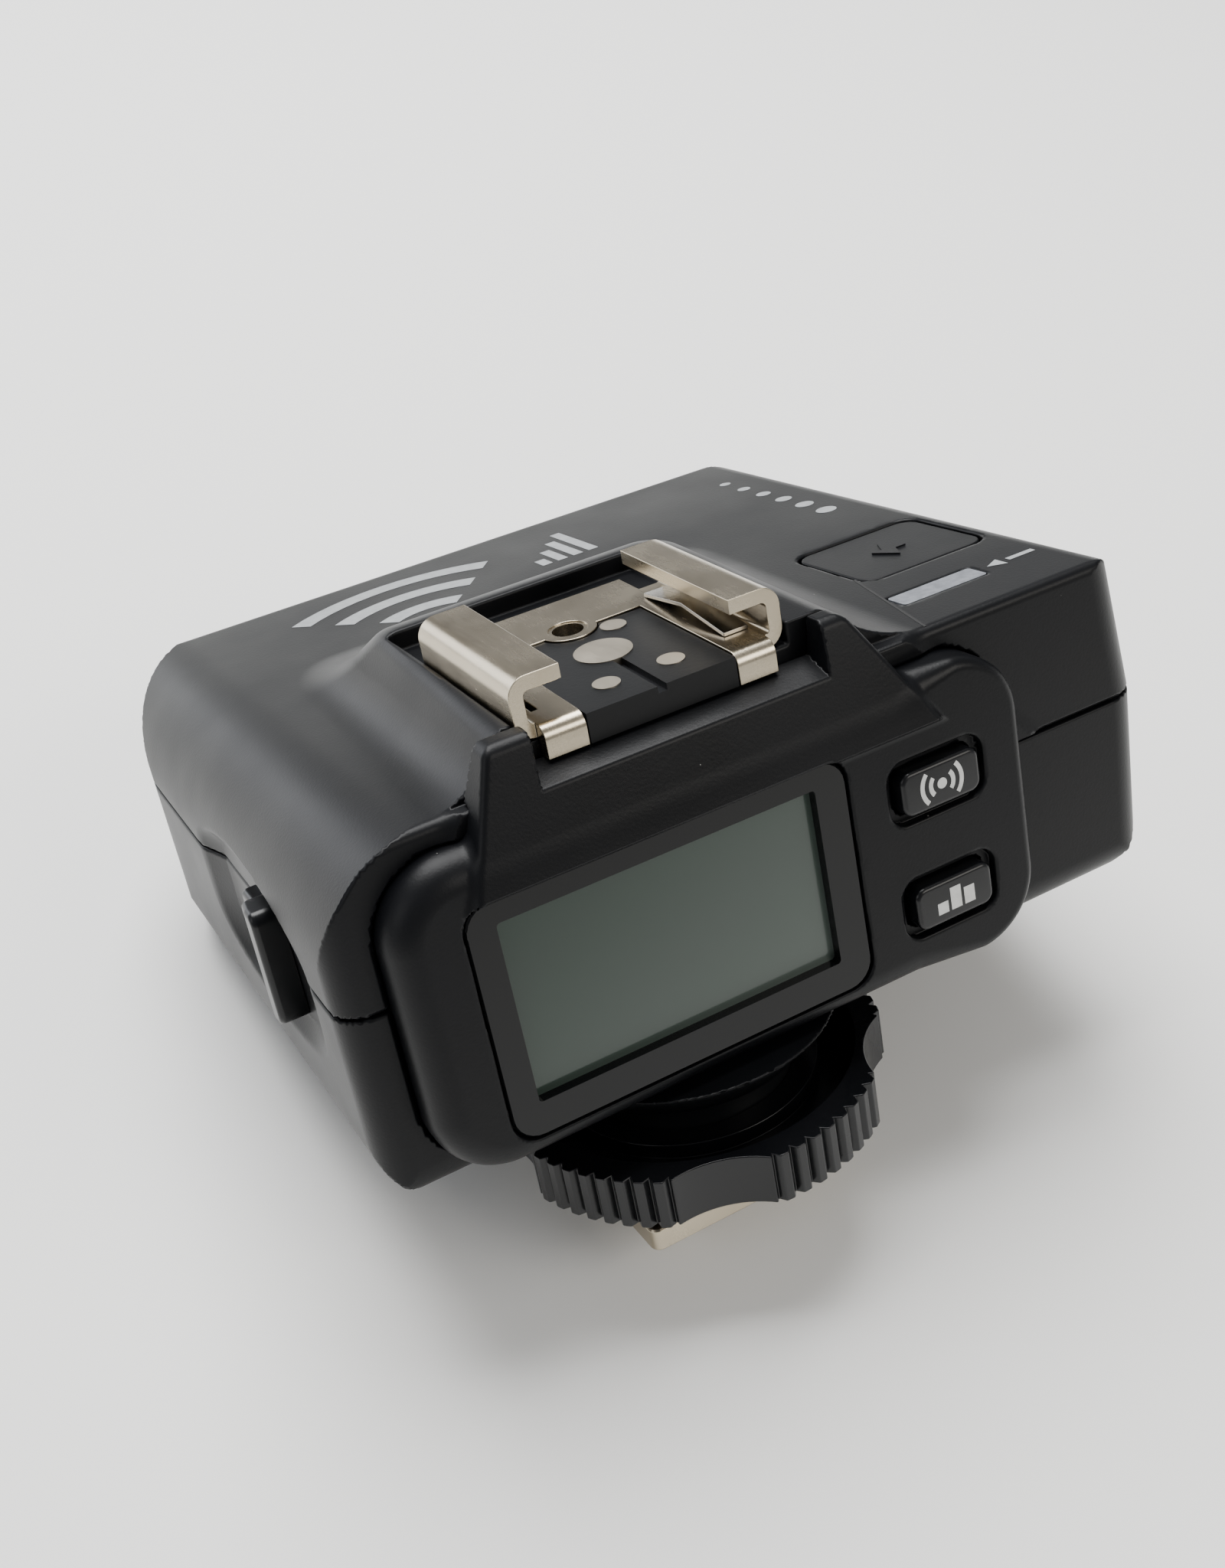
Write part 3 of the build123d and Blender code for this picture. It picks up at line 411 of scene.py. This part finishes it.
def lower_field(x, y, z):
    """The lower shell, hollow, with its neck and its openings."""
    form = cut(case_field(x, y, z), case_field(x, y, z, WALL))
    form = np.maximum(form, z - SEAM + SHADOW_GAP)
    door = box_field(x, y, z, (door_low[0] - DOOR_GAP, door_high[0] + DOOR_GAP), (door_low[1] - DOOR_GAP, FAR),
                     (0, door_high[2] + DOOR_GAP), 0.4)
    form = cut(form, door, 0.15)
    radius = np.sqrt(x * x + y * y)
    flare = 0.9 * np.clip(z - NECK_LOW, 0, 9) ** 1.35 * 0.62
    neck = meet(radius - NECK_R - flare, NECK_LOW - z, 0.5) * 0.8
    neck = np.maximum(neck, z - 15.2)
    neck = np.maximum(neck, -13.5 - y)
    form = join(form, neck, 1.0)
    form = cut(form, np.maximum(radius - STEM_BORE_R, z - STEM_BORE_TOP))
    form = cut(form, np.maximum(bezel_seat(x, y, z), -z + 13.9))
    form = cut(form, port_holes(x, y, z), 0.25)
    return cut(form, slider_scoop(x, y, z), 0.2)


jack_low, jack_high = node_box("sync_jack")
usb_low, usb_high = node_box("usb_port")
JACK_HOLE_R = 2.7
USB_GAP = 0.15


def port_holes(x, y, z):
    jy, jz = (jack_low[1] + jack_high[1]) / 2, (jack_low[2] + jack_high[2]) / 2
    jack = np.maximum(np.sqrt((y - jy) ** 2 + (z - jz) ** 2) - JACK_HOLE_R, RIGHT - 4 - x)
    a = np.maximum(usb_low[1] - USB_GAP - y, y - usb_high[1] - USB_GAP)
    b = np.maximum(usb_low[2] - USB_GAP - z, z - usb_high[2] - USB_GAP)
    return np.minimum(jack, np.maximum(meet(a, b, 0.5), RIGHT - 4 - x))


def moulded_plastic(name, tone, roughness, grain_mm, grain_depth, dust, gloss=0.15):
    """Moulded plastic with a fine spark-eroded grain: a soft uneven sheen, and a little dust on it."""
    finish, tree, shader = material(name)
    place = add(tree, "ShaderNodeTexCoord").outputs["Object"]
    grain = add(tree, "ShaderNodeTexNoise", Vector=place, Scale=1000 / grain_mm, Detail=2.0)
    cloud = add(tree, "ShaderNodeTexNoise", Vector=place, Scale=1000 / 14, Detail=3.0)
    shade = add(tree, "ShaderNodeValToRGB", {"stops": ((0.3, tone[0]), (0.75, tone[1]))},
                Fac=cloud.outputs["Fac"])
    base = shade.outputs["Color"]
    if dust:
        spot = add(tree, "ShaderNodeTexVoronoi", Vector=place, Scale=1000 / 3.2)
        size = add(tree, "ShaderNodeTexNoise", Vector=place, Scale=1000 / 5.0, Detail=1.0)
        reach = add(tree, "ShaderNodeMapRange", Value=size.outputs["Fac"], i1=0.5, i2=0.72, i3=0.0,
                    i4=0.035)
        speck = add(tree, "ShaderNodeMath", {"operation": "LESS_THAN"}, i0=spot.outputs["Distance"],
                    i1=reach.outputs["Result"])
        base = add(tree, "ShaderNodeMix", {"data_type": "RGBA"}, i0=speck.outputs["Value"], i6=base,
                   i7=colour("#8e8e8b")).outputs[2]
    tree.links.new(base, shader.inputs["Base Color"])
    sheen = add(tree, "ShaderNodeMapRange", Value=cloud.outputs["Fac"], i1=0.3, i2=0.7,
                i3=roughness - 0.04, i4=roughness + 0.05)
    tree.links.new(sheen.outputs["Result"], shader.inputs["Roughness"])
    bump = add(tree, "ShaderNodeBump", Height=grain.outputs["Fac"], Distance=grain_depth * MM, Strength=0.5)
    tree.links.new(bump.outputs["Normal"], shader.inputs["Normal"])
    shader.inputs["IOR"].default_value = 1.53
    shader.inputs["Specular IOR Level"].default_value = gloss
    return finish


# The real grain is about 0.05 mm and is drawn coarser, so that it shows.
case_abs = moulded_plastic("satin_black_abs", ("#090a0c", "#0e0f12"), 0.38, 0.22, 0.02, True)
STEP = 0.3      # mm, between the points that a shell's field is sampled at
upper = put("upper_shell_finished", skin("upper_shell_finished", upper_field,
            (LEFT - 0.5, REAR - 0.5, SEAM - 0.5), (RIGHT + 0.5, FRONT + 0.5, BLOCK_TOP + 0.5), STEP), case_abs)
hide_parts("upper_shell")
lower = put("lower_shell_finished", skin("lower_shell_finished", lower_field,
            (LEFT - 0.5, -14, 10.0), (RIGHT + 0.5, FRONT + 0.5, SEAM + 0.5), STEP), case_abs)
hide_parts("lower_shell")


# ---- Display bezel ----------------------------------------------------------------------------------
# One ABS moulding that stands out of the case's back: a softly rounded frame round the window and keys,
# and above it the rear of the shoe block, with a horn each side of the mouth that a foot slides in at.
KEY_SPAN = (15.7, 22.6)
KEY_LOWS = {"channel": 27.9, "group": 18.35}
KEY_TALL = 3.5
KEY_GAP, KEY_WELL = 0.15, 0.8     # round a key, and the sunk frame round it
KEY_WELL_DEEP = 0.75
CAP_LOW, CAP_REF = 34.5, 37.4     # where the cap over the frame starts, and where its sides are measured
CAP_LEFT, CAP_RIGHT, CAP_FACE = -16.2, 18.2, -10.1
MOUTH = (-10.6, 11.9)             # between the horns, at the sill
SILL = 40.4
BEZEL_HOLLOW = (-21.4, 25.1, 16.0, 36.2)
BEZEL_PLATE = 2.4                 # thickness left over the hollow
WINDOW = (-18.2, 11.6, 16.0, 34.6)
WINDOW_GAP = 0.15
LCD = (-16.6, 9.6, 18.0, 33.4)
LCD_GAP = 0.1


def bezel_field(x, y, z):
    u, v, w = panel_axes(x, y, z)
    bulge = 2.4 - 1.5 * np.clip((u - 16.0) / 6.0, 0, 1)
    frame_part = meet(panel_rect(u, v, BEZEL, BEZEL_CORNER), w, bulge)
    frame_part = np.maximum(frame_part, -w - BEZEL_DEEP)
    rise = z - CAP_REF
    left = (CAP_LEFT - x + rise * 0.40) * 0.93
    side = (x - CAP_RIGHT + rise * 0.60) * 0.86
    face = (CAP_FACE - y + rise * 0.27) * 0.965
    cap = meet(meet(left, face, 0.5), meet(side, face, 0.5), 0.01)
    cap = meet(cap, z - BLOCK_TOP, 0.7)
    cap = np.maximum(cap, CAP_LOW - z)
    cap = np.maximum(cap, np.where(z < ROOF + 0.1, y - REAR + 0.1, y - BLOCK_REAR + 0.1))
    taper = (z - SILL) * 0.1
    mouth = meet(meet(MOUTH[0] - x + taper, x - MOUTH[1] - taper), SILL - 0.2 + (y + 9.6) * 0.32 - z)
    cap = cut(cap, mouth, 0.12)
    form = join(frame_part, cap, 0.6)
    form = cut(form, np.maximum(panel_rect(u, v, BEZEL_HOLLOW, 4.0), w + BEZEL_PLATE))
    form = cut(form, np.maximum(panel_rect(u, v, WINDOW, 2.1, WINDOW_GAP), -w - 1.15), 0.12)
    form = cut(form, panel_rect(u, v, LCD, 0.4, LCD_GAP))
    for low in KEY_LOWS.values():
        key = (*KEY_SPAN, low, low + KEY_TALL)
        form = cut(form, np.maximum(panel_rect(u, v, key, 1.5, KEY_WELL), -w - KEY_WELL_DEEP), 0.2)
        form = cut(form, panel_rect(u, v, key, 1.0, KEY_GAP))
    return form


bezel = put("display_bezel_finished", skin("display_bezel_finished", bezel_field,
            (-24, -11.5, 13.4), (28, -4.5, BLOCK_TOP + 0.4), STEP * 0.8, 0.35), case_abs)
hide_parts("display_bezel")


# ---- Battery door -----------------------------------------------------------------------------------
# The ABS door that takes in the front of the floor and the lower front wall, and slides off forward.
# It is moulded like the shells, with a ribbed patch sunk in its underside for the thumb.
RIB_PITCH = 2.2
GRIP = ((2.0, 18.0), (34.0, 45.0), (11, 12.42))


def door_field(x, y, z):
    form = cut(case_field(x, y, z), case_field(x, y, z, WALL))
    outline = box_field(x, y, z, (door_low[0], door_high[0]), (door_low[1], FAR), (0, door_high[2]), 0.3)
    form = meet(form, outline, 0.15)
    place = (y - 38) / RIB_PITCH
    ribs = np.abs(place - np.round(place)) * RIB_PITCH - 0.45
    return cut(form, np.maximum(box_field(x, y, z, *GRIP, 1.5), -ribs), 0.1)


door = put("battery_door_finished", skin("battery_door_finished", door_field,
           (door_low[0] - 0.5, door_low[1] - 0.5, 11.6), (door_high[0] + 0.5, FRONT + 0.5, door_high[2] + 0.5),
           STEP * 1.2), case_abs, "battery_door")
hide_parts("battery_door")


# ---- Power slider -----------------------------------------------------------------------------------
# A small ABS slide in the left wall: a tall thumb tab at its rear end, stepping down to a flat plate.
# It is pushed forward to switch the trigger off; its face is smoother than the case's.
TAB_SHIFT = 1.9                   # of the rear end, forward of the CAD node's
TAB_PROUD = 1.28
TAB_LENGTH = 2.8


def slider_field(x, y, z):
    along = y - slider_low[1] - TAB_SHIFT
    proud = TAB_PROUD - 0.2 * np.clip((along - 1.6) / 1.2, 0, 1)
    proud -= 0.85 * np.clip((along - TAB_LENGTH) / 0.5, 0, 1)
    proud -= 0.5 * np.clip((along - 6.2) / 0.5, 0, 1)
    face = (LEFT - proud - x) * 0.8
    tall = np.maximum(slider_low[2] - z, z - slider_high[2])
    tall = tall + 0.9 * np.clip((along - TAB_LENGTH) / 0.6, 0, 1) + 0.8 * np.clip((along - 6.4) / 0.6, 0, 1)
    ends = np.maximum(-along, y - slider_low[1] - 8.95)
    form = meet(meet(tall * 0.8, ends, 0.8), face, 0.35)
    return np.maximum(form, x - LEFT - 1.05)


key_abs = moulded_plastic("smooth_black_abs", ("#0a0b0d", "#101114"), 0.3, 0.4, 0.008, False, 0.3)
slider = put("power_slider_finished", skin("power_slider_finished", slider_field,
             (slider_low[0] - 0.3, slider_low[1] - 0.3, slider_low[2] - 0.3),
             (LEFT + 1.4, slider_low[1] + 9.3, slider_high[2] + 0.3), 0.16), key_abs, "power_slider")
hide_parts("power_slider")


# ---- Keys and test button ---------------------------------------------------------------------------
# Three moulded ABS caps with softly broken edges. The two keys carry a white printed sign each, and the
# test button a raised flash sign that was moulded with it.
def soften(node, width, finish, body="case"):
    """A copy of a CAD node with its edges broken, to stand for it."""
    shape = bmesh.new()
    shape.from_mesh(frame["nodes"][node].data)
    bmesh.ops.remove_doubles(shape, verts=shape.verts, dist=0.002 * MM)
    bmesh.ops.dissolve_limit(shape, angle_limit=math.radians(0.5), verts=shape.verts, edges=shape.edges)
    shape.verts.index_update()
    mesh = bpy.data.meshes.new(node + "_finished")
    faces = [[v.index for v in f.verts] for f in shape.faces]
    mesh.from_pydata([v.co.copy() for v in shape.verts], [], faces)
    shape.free()
    piece = put(node + "_finished", mesh, finish, body)
    edge = piece.modifiers.new("broken_edges", "BEVEL")
    edge.width = width * MM
    edge.segments = 2
    edge.limit_method = "ANGLE"
    edge.angle_limit = math.radians(35)
    edge.use_clamp_overlap = True
    mesh.polygons.foreach_set("use_smooth", [True] * len(mesh.polygons))
    edge.harden_normals = True
    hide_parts(node)
    return piece


def raised(name, outlines, place, thick, finish, body="case"):
    """Flat signs of an ink or a moulding, laid by place(u, v, height) on the surface they belong to."""
    shape = bmesh.new()
    for outline in outlines:
        rings = [[shape.verts.new(Vector(place(u, v, h)) * MM) for u, v in outline] for h in (-0.02, thick)]
        shape.faces.new(rings[1])
        shape.faces.new(rings[0][::-1])
        for k in range(len(outline)):
            shape.faces.new((rings[0][k - 1], rings[0][k], rings[1][k], rings[1][k - 1]))
    bmesh.ops.recalc_face_normals(shape, faces=shape.faces)
    mesh = bpy.data.meshes.new(name)
    shape.to_mesh(mesh)
    shape.free()
    return put(name, mesh, finish, body)


def arc(x, y, radius, stroke, start, end):
    """A round stroke, as one outline, between two angles in degrees."""
    steps = max(4, int((end - start) / 6))
    angles = [math.radians(start + (end - start) * k / steps) for k in range(steps + 1)]
    outer, inner = ([(x + r * math.cos(a), y + r * math.sin(a)) for a in angles]
                    for r in (radius + stroke / 2, radius - stroke / 2))
    return outer + inner[::-1]


def disc(x, y, radius):
    return [(x + radius * math.cos(a * math.pi / 12), y + radius * math.sin(a * math.pi / 12)) for a in range(24)]


def bar(left, right_end, low, high):
    return [(left, low), (right_end, low), (right_end, high), (left, high)]


def on_panel(proud):
    """Places a point a height above the leaning panel's face, plus proud."""
    s, c = math.sin(PANEL_LEAN), math.cos(PANEL_LEAN)

    def place(u, v, height):
        out = proud + height
        return u, PANEL_Y + (v - PANEL_Z) * s - out * c, PANEL_Z + (v - PANEL_Z) * c + out * s
    return place


def on_roof(x, y, height):
    """Places a point a height above the sloping top."""
    return x, y, roof_height(y) + height


def pad_print(name, tone, roughness, scale_mm):
    """Pad-printed ink: matt, a little broken up where it has worn."""
    finish, tree, shader = material(name)
    place = add(tree, "ShaderNodeTexCoord").outputs["Object"]
    worn = add(tree, "ShaderNodeTexNoise", Vector=place, Scale=1000 / scale_mm, Detail=4.0)
    tint = add(tree, "ShaderNodeValToRGB", {"stops": ((0.0, tone[0]), (1.0, tone[1]))},
               Fac=worn.outputs["Fac"])
    tree.links.new(tint.outputs["Color"], shader.inputs["Base Color"])
    bump = add(tree, "ShaderNodeBump", Height=worn.outputs["Fac"], Distance=0.01 * MM, Strength=0.4)
    tree.links.new(bump.outputs["Normal"], shader.inputs["Normal"])
    shader.inputs["Roughness"].default_value = roughness
    return finish


white_ink = pad_print("white_pad_print", ("#b9bab8", "#dcdddb"), 0.6, 0.8)
INK_THICK = 0.02
KEY_PROUD = 0.55
key_u = sum(KEY_SPAN) / 2
for name, low in KEY_LOWS.items():
    key_piece = soften(name + "_key", 0.12, key_abs, name + "_key")
    v = low + KEY_TALL / 2
    if name == "channel":
        sign = [disc(key_u, v, 0.42)]
        for radius in (1.0, 1.75):
            sign += [arc(key_u, v, radius, 0.36, -42, 42), arc(key_u, v, radius, 0.36, 138, 222)]
    else:
        sign = [bar(key_u + start, key_u + end, v - 0.9, v + top)
                for start, end, top in ((-1.7, -0.75, 0.05), (-0.48, 0.48, 0.95), (0.75, 1.7, 0.5))]
    sign_piece = raised(name + "_key_sign", sign, on_panel(KEY_PROUD), INK_THICK, white_ink, name + "_key")
button = soften("test_button", 0.15, case_abs, "test_button")
button_low, button_high = node_box("test_button")
bx, by = (button_low[0] + button_high[0]) / 2, (button_low[1] + button_high[1]) / 2
flash = [(bx - 0.2, by - 1.9), (bx + 0.5, by - 0.3), (bx + 1.5, by - 0.3), (bx + 0.2, by + 1.9),
         (bx - 0.5, by + 0.3), (bx - 1.5, by + 0.3)]
flash_piece = raised("test_button_sign", [flash], lambda x, y, h: (x, y, roof_height(y) - 0.1 + h), 0.12,
                     case_abs, "test_button")


# ---- Printed signs on the top -----------------------------------------------------------------------
# Pale grey pad-printed marks: radio waves in front of the shoe, level bars beside them, a row of dots
# along the right edge and an arrow that points to the status lens; and a fine dark moulding line.
grey_ink = pad_print("grey_pad_print", ("#7f8284", "#a3a6a7"), 0.55, 0.9)


def glossy(name, tone, roughness, scale_mm):
    """A smooth hard surface with faint handling marks in its gloss."""
    finish, tree, shader = material(name)
    place = add(tree, "ShaderNodeTexCoord").outputs["Object"]
    smear = add(tree, "ShaderNodeTexNoise", Vector=place, Scale=1000 / scale_mm, Detail=5.0)
    tint = add(tree, "ShaderNodeValToRGB", {"stops": ((0.0, tone[0]), (1.0, tone[1]))},
               Fac=smear.outputs["Fac"])
    tree.links.new(tint.outputs["Color"], shader.inputs["Base Color"])
    dull = add(tree, "ShaderNodeMapRange", Value=smear.outputs["Fac"], i1=0.35, i2=0.75, i3=roughness,
               i4=roughness + 0.07)
    tree.links.new(dull.outputs["Result"], shader.inputs["Roughness"])
    bump = add(tree, "ShaderNodeBump", Height=smear.outputs["Fac"], Distance=0.004 * MM, Strength=0.2)
    tree.links.new(bump.outputs["Normal"], shader.inputs["Normal"])
    return finish, tree, shader


line_black, _, _ = glossy("moulding_line", ("#040405", "#070708"), 0.5, 2.0)
line_outline = [(21.9, REAR + 0.6), (22.12, REAR + 0.6), (25.35, 7.0), (25.13, 7.0)]
moulding_line = raised("top_moulding_line", [line_outline], on_roof, 0.012, line_black)
waves = [disc(-0.5, 32.5, 1.6)] + [arc(-0.5, 32.5, radius, 2.1, 52, 128) for radius in (5.6, 10.4, 15.2)]
levels = [bar(12.0 + 1.6 * k, 13.0 + 1.6 * k, 38.0, 40.0 + 2.2 * k) for k in range(4)]
dots = [disc(35.4, 26.0 + 3.6 * k, 0.95 - 0.08 * k) for k in range(6)]
lens_low, lens_high = node_box("status_lens")
lens_y = (lens_low[1] + lens_high[1]) / 2
lens_x = lens_high[0]
pointer = [[(lens_x + 0.9, lens_y), (lens_x + 2.3, lens_y - 0.8), (lens_x + 2.3, lens_y + 0.8)],
           bar(lens_x + 2.9, lens_x + 5.4, lens_y - 0.3, lens_y + 0.3)]
prints = raised("top_printed_signs", waves + levels + dots + pointer, on_roof, INK_THICK, grey_ink)


# ---- Display window and LCD -------------------------------------------------------------------------
# A hard-coated acrylic window, printed black round its edge, over a greenish-grey LCD. The clear middle
# is drawn as the LCD's own glossy face, sunk behind the print, with a painted reflection: its colour runs from
# dark green at the top left to lighter grey at the bottom right.
SIGHT = (-16.0, 9.0, 18.6, 32.8)
WINDOW_SINK, WINDOW_THICK = 0.15, 0.95
LCD_DEEP, LCD_THICK = 4.2, 3.2


def rounded(left, right_end, low, high, corner, steps=6):
    """A rectangle's outline with round corners."""
    points = []
    for cx, cy, start in ((right_end - corner, high - corner, 0), (left + corner, high - corner, 90),
                          (left + corner, low + corner, 180), (right_end - corner, low + corner, 270)):
        for k in range(steps + 1):
            a = math.radians(start + 90 * k / steps)
            points.append((cx + corner * math.cos(a), cy + corner * math.sin(a)))
    return points


def plate_with_hole(name, outer, inner, place, top, low, finish):
    """A flat ring between two outlines of as many points, with a broken outer edge."""
    shape = bmesh.new()
    middle = ((WINDOW[0] + WINDOW[1]) / 2, (WINDOW[2] + WINDOW[3]) / 2)
    inset = [(u + (middle[0] - u) * 0.008, v + (middle[1] - v) * 0.012) for u, v in outer]
    levels = [(outer, low), (outer, top - 0.12), (inset, top), (inner, top), (inner, low)]
    rings = [[shape.verts.new(Vector(place(u, v, h)) * MM) for u, v in points] for points, h in levels]
    count = len(outer)
    for first, second in zip(rings, rings[1:] + rings[:1]):
        for k in range(count):
            shape.faces.new((first[k - 1], first[k], second[k], second[k - 1]))
    bmesh.ops.recalc_face_normals(shape, faces=shape.faces)
    mesh = bpy.data.meshes.new(name)
    shape.to_mesh(mesh)
    shape.free()
    return put(name, mesh, finish)


print_black, tree, shader = glossy("black_printed_acrylic", ("#060708", "#0b0c0e"), 0.06, 6.0)
shader.inputs["IOR"].default_value = 1.49
shader.inputs["Specular IOR Level"].default_value = 0.25
border = plate_with_hole("display_window_border", rounded(*WINDOW, 2.0), rounded(*SIGHT, 0.3),
                         on_panel(-WINDOW_SINK), 0.0, -WINDOW_THICK, print_black)
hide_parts("display_window")
lcd_glass, tree, shader = glossy("lcd_painted_reflection", ("#46574b", "#56645a"), 0.1, 30.0)
place = add(tree, "ShaderNodeTexCoord").outputs["Object"]
# Painted reflection: a diagonal ramp replaces the LCD's base colour, darker green towards the top left and
# lighter grey towards the bottom right, standing in for light reflected in it.
painted_reflection_axis = add(tree, "ShaderNodeVectorMath", {"operation": "DOT_PRODUCT"}, i0=place, i1=(22.0, 0.0, -34.0))
painted_reflection_ramp = add(tree, "ShaderNodeMapRange", Value=painted_reflection_axis.outputs["Value"], i1=-1.45, i2=-0.35, i3=0.0, i4=1.0)
tint = add(tree, "ShaderNodeValToRGB", {"stops": ((0.0, "#1e2f26"), (1.0, "#4c5550"))},
           Fac=painted_reflection_ramp.outputs["Result"])
tree.links.new(tint.outputs["Color"], shader.inputs["Base Color"])
shader.inputs["Specular IOR Level"].default_value = 0.35
lcd = raised("lcd_panel_finished", [rounded(*LCD, 0.4)], on_panel(-LCD_DEEP), LCD_THICK, lcd_glass)
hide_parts("lcd_panel")


# ---- Shoe, foot and contacts ------------------------------------------------------------------------
# Bent and stamped brass sheet, nickel-plated: warm and satin, slightly stained, with fine scratches
# where feet have slid. The contacts are plated domes pressed in a black carrier.
def plated_metal(name, tone, roughness, scratch_mm, wear):
    """A metal with fine scratches along it and a slightly stained tone."""
    finish, tree, shader = material(name)
    place = add(tree, "ShaderNodeTexCoord").outputs["Object"]
    stretch = add(tree, "ShaderNodeMapping", Vector=place, Scale=(1.0, 0.12, 1.0))
    scratch = add(tree, "ShaderNodeTexNoise", Vector=stretch.outputs["Vector"], Scale=1000 / scratch_mm,
                  Detail=6.0)
    stain = add(tree, "ShaderNodeTexNoise", Vector=place, Scale=1000 / 6.0, Detail=3.0)
    shade = add(tree, "ShaderNodeValToRGB", {"stops": ((0.3, tone[0]), (0.7, tone[1]))},
                Fac=stain.outputs["Fac"])
    tree.links.new(shade.outputs["Color"], shader.inputs["Base Color"])
    shader.inputs["Metallic"].default_value = 1.0
    mixed = add(tree, "ShaderNodeMath", {"operation": "MULTIPLY_ADD"}, i0=scratch.outputs["Fac"], i1=0.6,
                i2=stain.outputs["Fac"])
    dull = add(tree, "ShaderNodeMapRange", Value=mixed.outputs["Value"], i1=0.5, i2=1.1, i3=roughness - wear,
               i4=roughness + wear)
    tree.links.new(dull.outputs["Result"], shader.inputs["Roughness"])
    bump = add(tree, "ShaderNodeBump", Height=scratch.outputs["Fac"], Distance=0.006 * MM, Strength=0.5)
    tree.links.new(bump.outputs["Normal"], shader.inputs["Normal"])
    return finish


nickel = plated_metal("satin_nickel_plate", ("#b1a692", "#beb4a0"), 0.26, 0.22, 0.05)
worn_contact = plated_metal("worn_contact_plate", ("#b9b1a1", "#c8c0b1"), 0.38, 0.3, 0.05)
spring_steel = plated_metal("bright_spring_steel", ("#8d8983", "#aaa69f"), 0.25, 0.3, 0.06)
screw_steel = plated_metal("blackened_screw_steel", ("#34343a", "#4a4a50"), 0.38, 0.2, 0.08)
carrier_abs = moulded_plastic("black_contact_carrier", ("#0c0d0f", "#131416"), 0.36, 0.3, 0.012, True, 0.2)
for node, width, finish, slot_name in (
        ("shoe_rails", 0.18, nickel, "nickel"), ("foot_plate", 0.18, nickel, "nickel"),
        ("shoe_spring", 0.05, spring_steel, "spring_steel")):
    soften(node, width, finish)


# ---- Lock ring --------------------------------------------------------------------------------------
# A moulded ring of glass-filled nylon with five knurled lobes and a dished top, glossier than the case.
# Its edges are lightly broken. It runs on the foot's thread and locks the foot in a camera's shoe.
ring_nylon = moulded_plastic("glossy_black_nylon", ("#090a0c", "#0f1013"), 0.24, 0.5, 0.01, True, 0.3)
soften("lock_ring", 0.1, ring_nylon, "lock_ring")


# ---- Everything that keeps its CAD shape ------------------------------------------------------------
# The boards, chips, cells, screws, springs and pins inside, each in the finish of its material slot:
# green solder mask on glass-epoxy, moulded black epoxy, printed cell sleeves, frosted light guides.
def plain_finish(name, tone, roughness, grain_mm):
    """A dull finish with a fine grain in its tone and its gloss."""
    finish, tree, shader = material(name)
    place = add(tree, "ShaderNodeTexCoord").outputs["Object"]
    grain = add(tree, "ShaderNodeTexNoise", Vector=place, Scale=1000 / grain_mm, Detail=4.0)
    tint = add(tree, "ShaderNodeValToRGB", {"stops": ((0.35, tone[0]), (0.65, tone[1]))},
               Fac=grain.outputs["Fac"])
    tree.links.new(tint.outputs["Color"], shader.inputs["Base Color"])
    dull = add(tree, "ShaderNodeMapRange", Value=grain.outputs["Fac"], i1=0.3, i2=0.7, i3=roughness - 0.05,
               i4=roughness + 0.05)
    tree.links.new(dull.outputs["Result"], shader.inputs["Roughness"])
    bump = add(tree, "ShaderNodeBump", Height=grain.outputs["Fac"], Distance=0.01 * MM, Strength=0.3)
    tree.links.new(bump.outputs["Normal"], shader.inputs["Normal"])
    return finish


frosted = plain_finish("frosted_light_guide", ("#66696f", "#7b7e84"), 0.4, 0.6)
finish_of_slot = {
    "case_plastic": case_abs, "key_plastic": key_abs, "ring_plastic": ring_nylon, "lcd": lcd_glass,
    "window": print_black, "diffuser": frosted, "nickel": nickel, "contact": worn_contact,
    "insulator": carrier_abs, "spring_steel": spring_steel, "screw_steel": screw_steel,
    "circuit_board": plain_finish("green_solder_mask", ("#0d4a26", "#135c31"), 0.35, 1.2),
    "component": plain_finish("moulded_black_epoxy", ("#1a1a1c", "#242427"), 0.6, 0.25),
    "cell_can": plain_finish("printed_cell_sleeve", ("#2a2c33", "#3a3d47"), 0.3, 4.0),
}
for part in frame["record"]["subparts"]:
    slots = frame["nodes"][part["node"]].data.materials
    for k in range(len(slots)):
        slots[k] = finish_of_slot[part["material_slot"]]
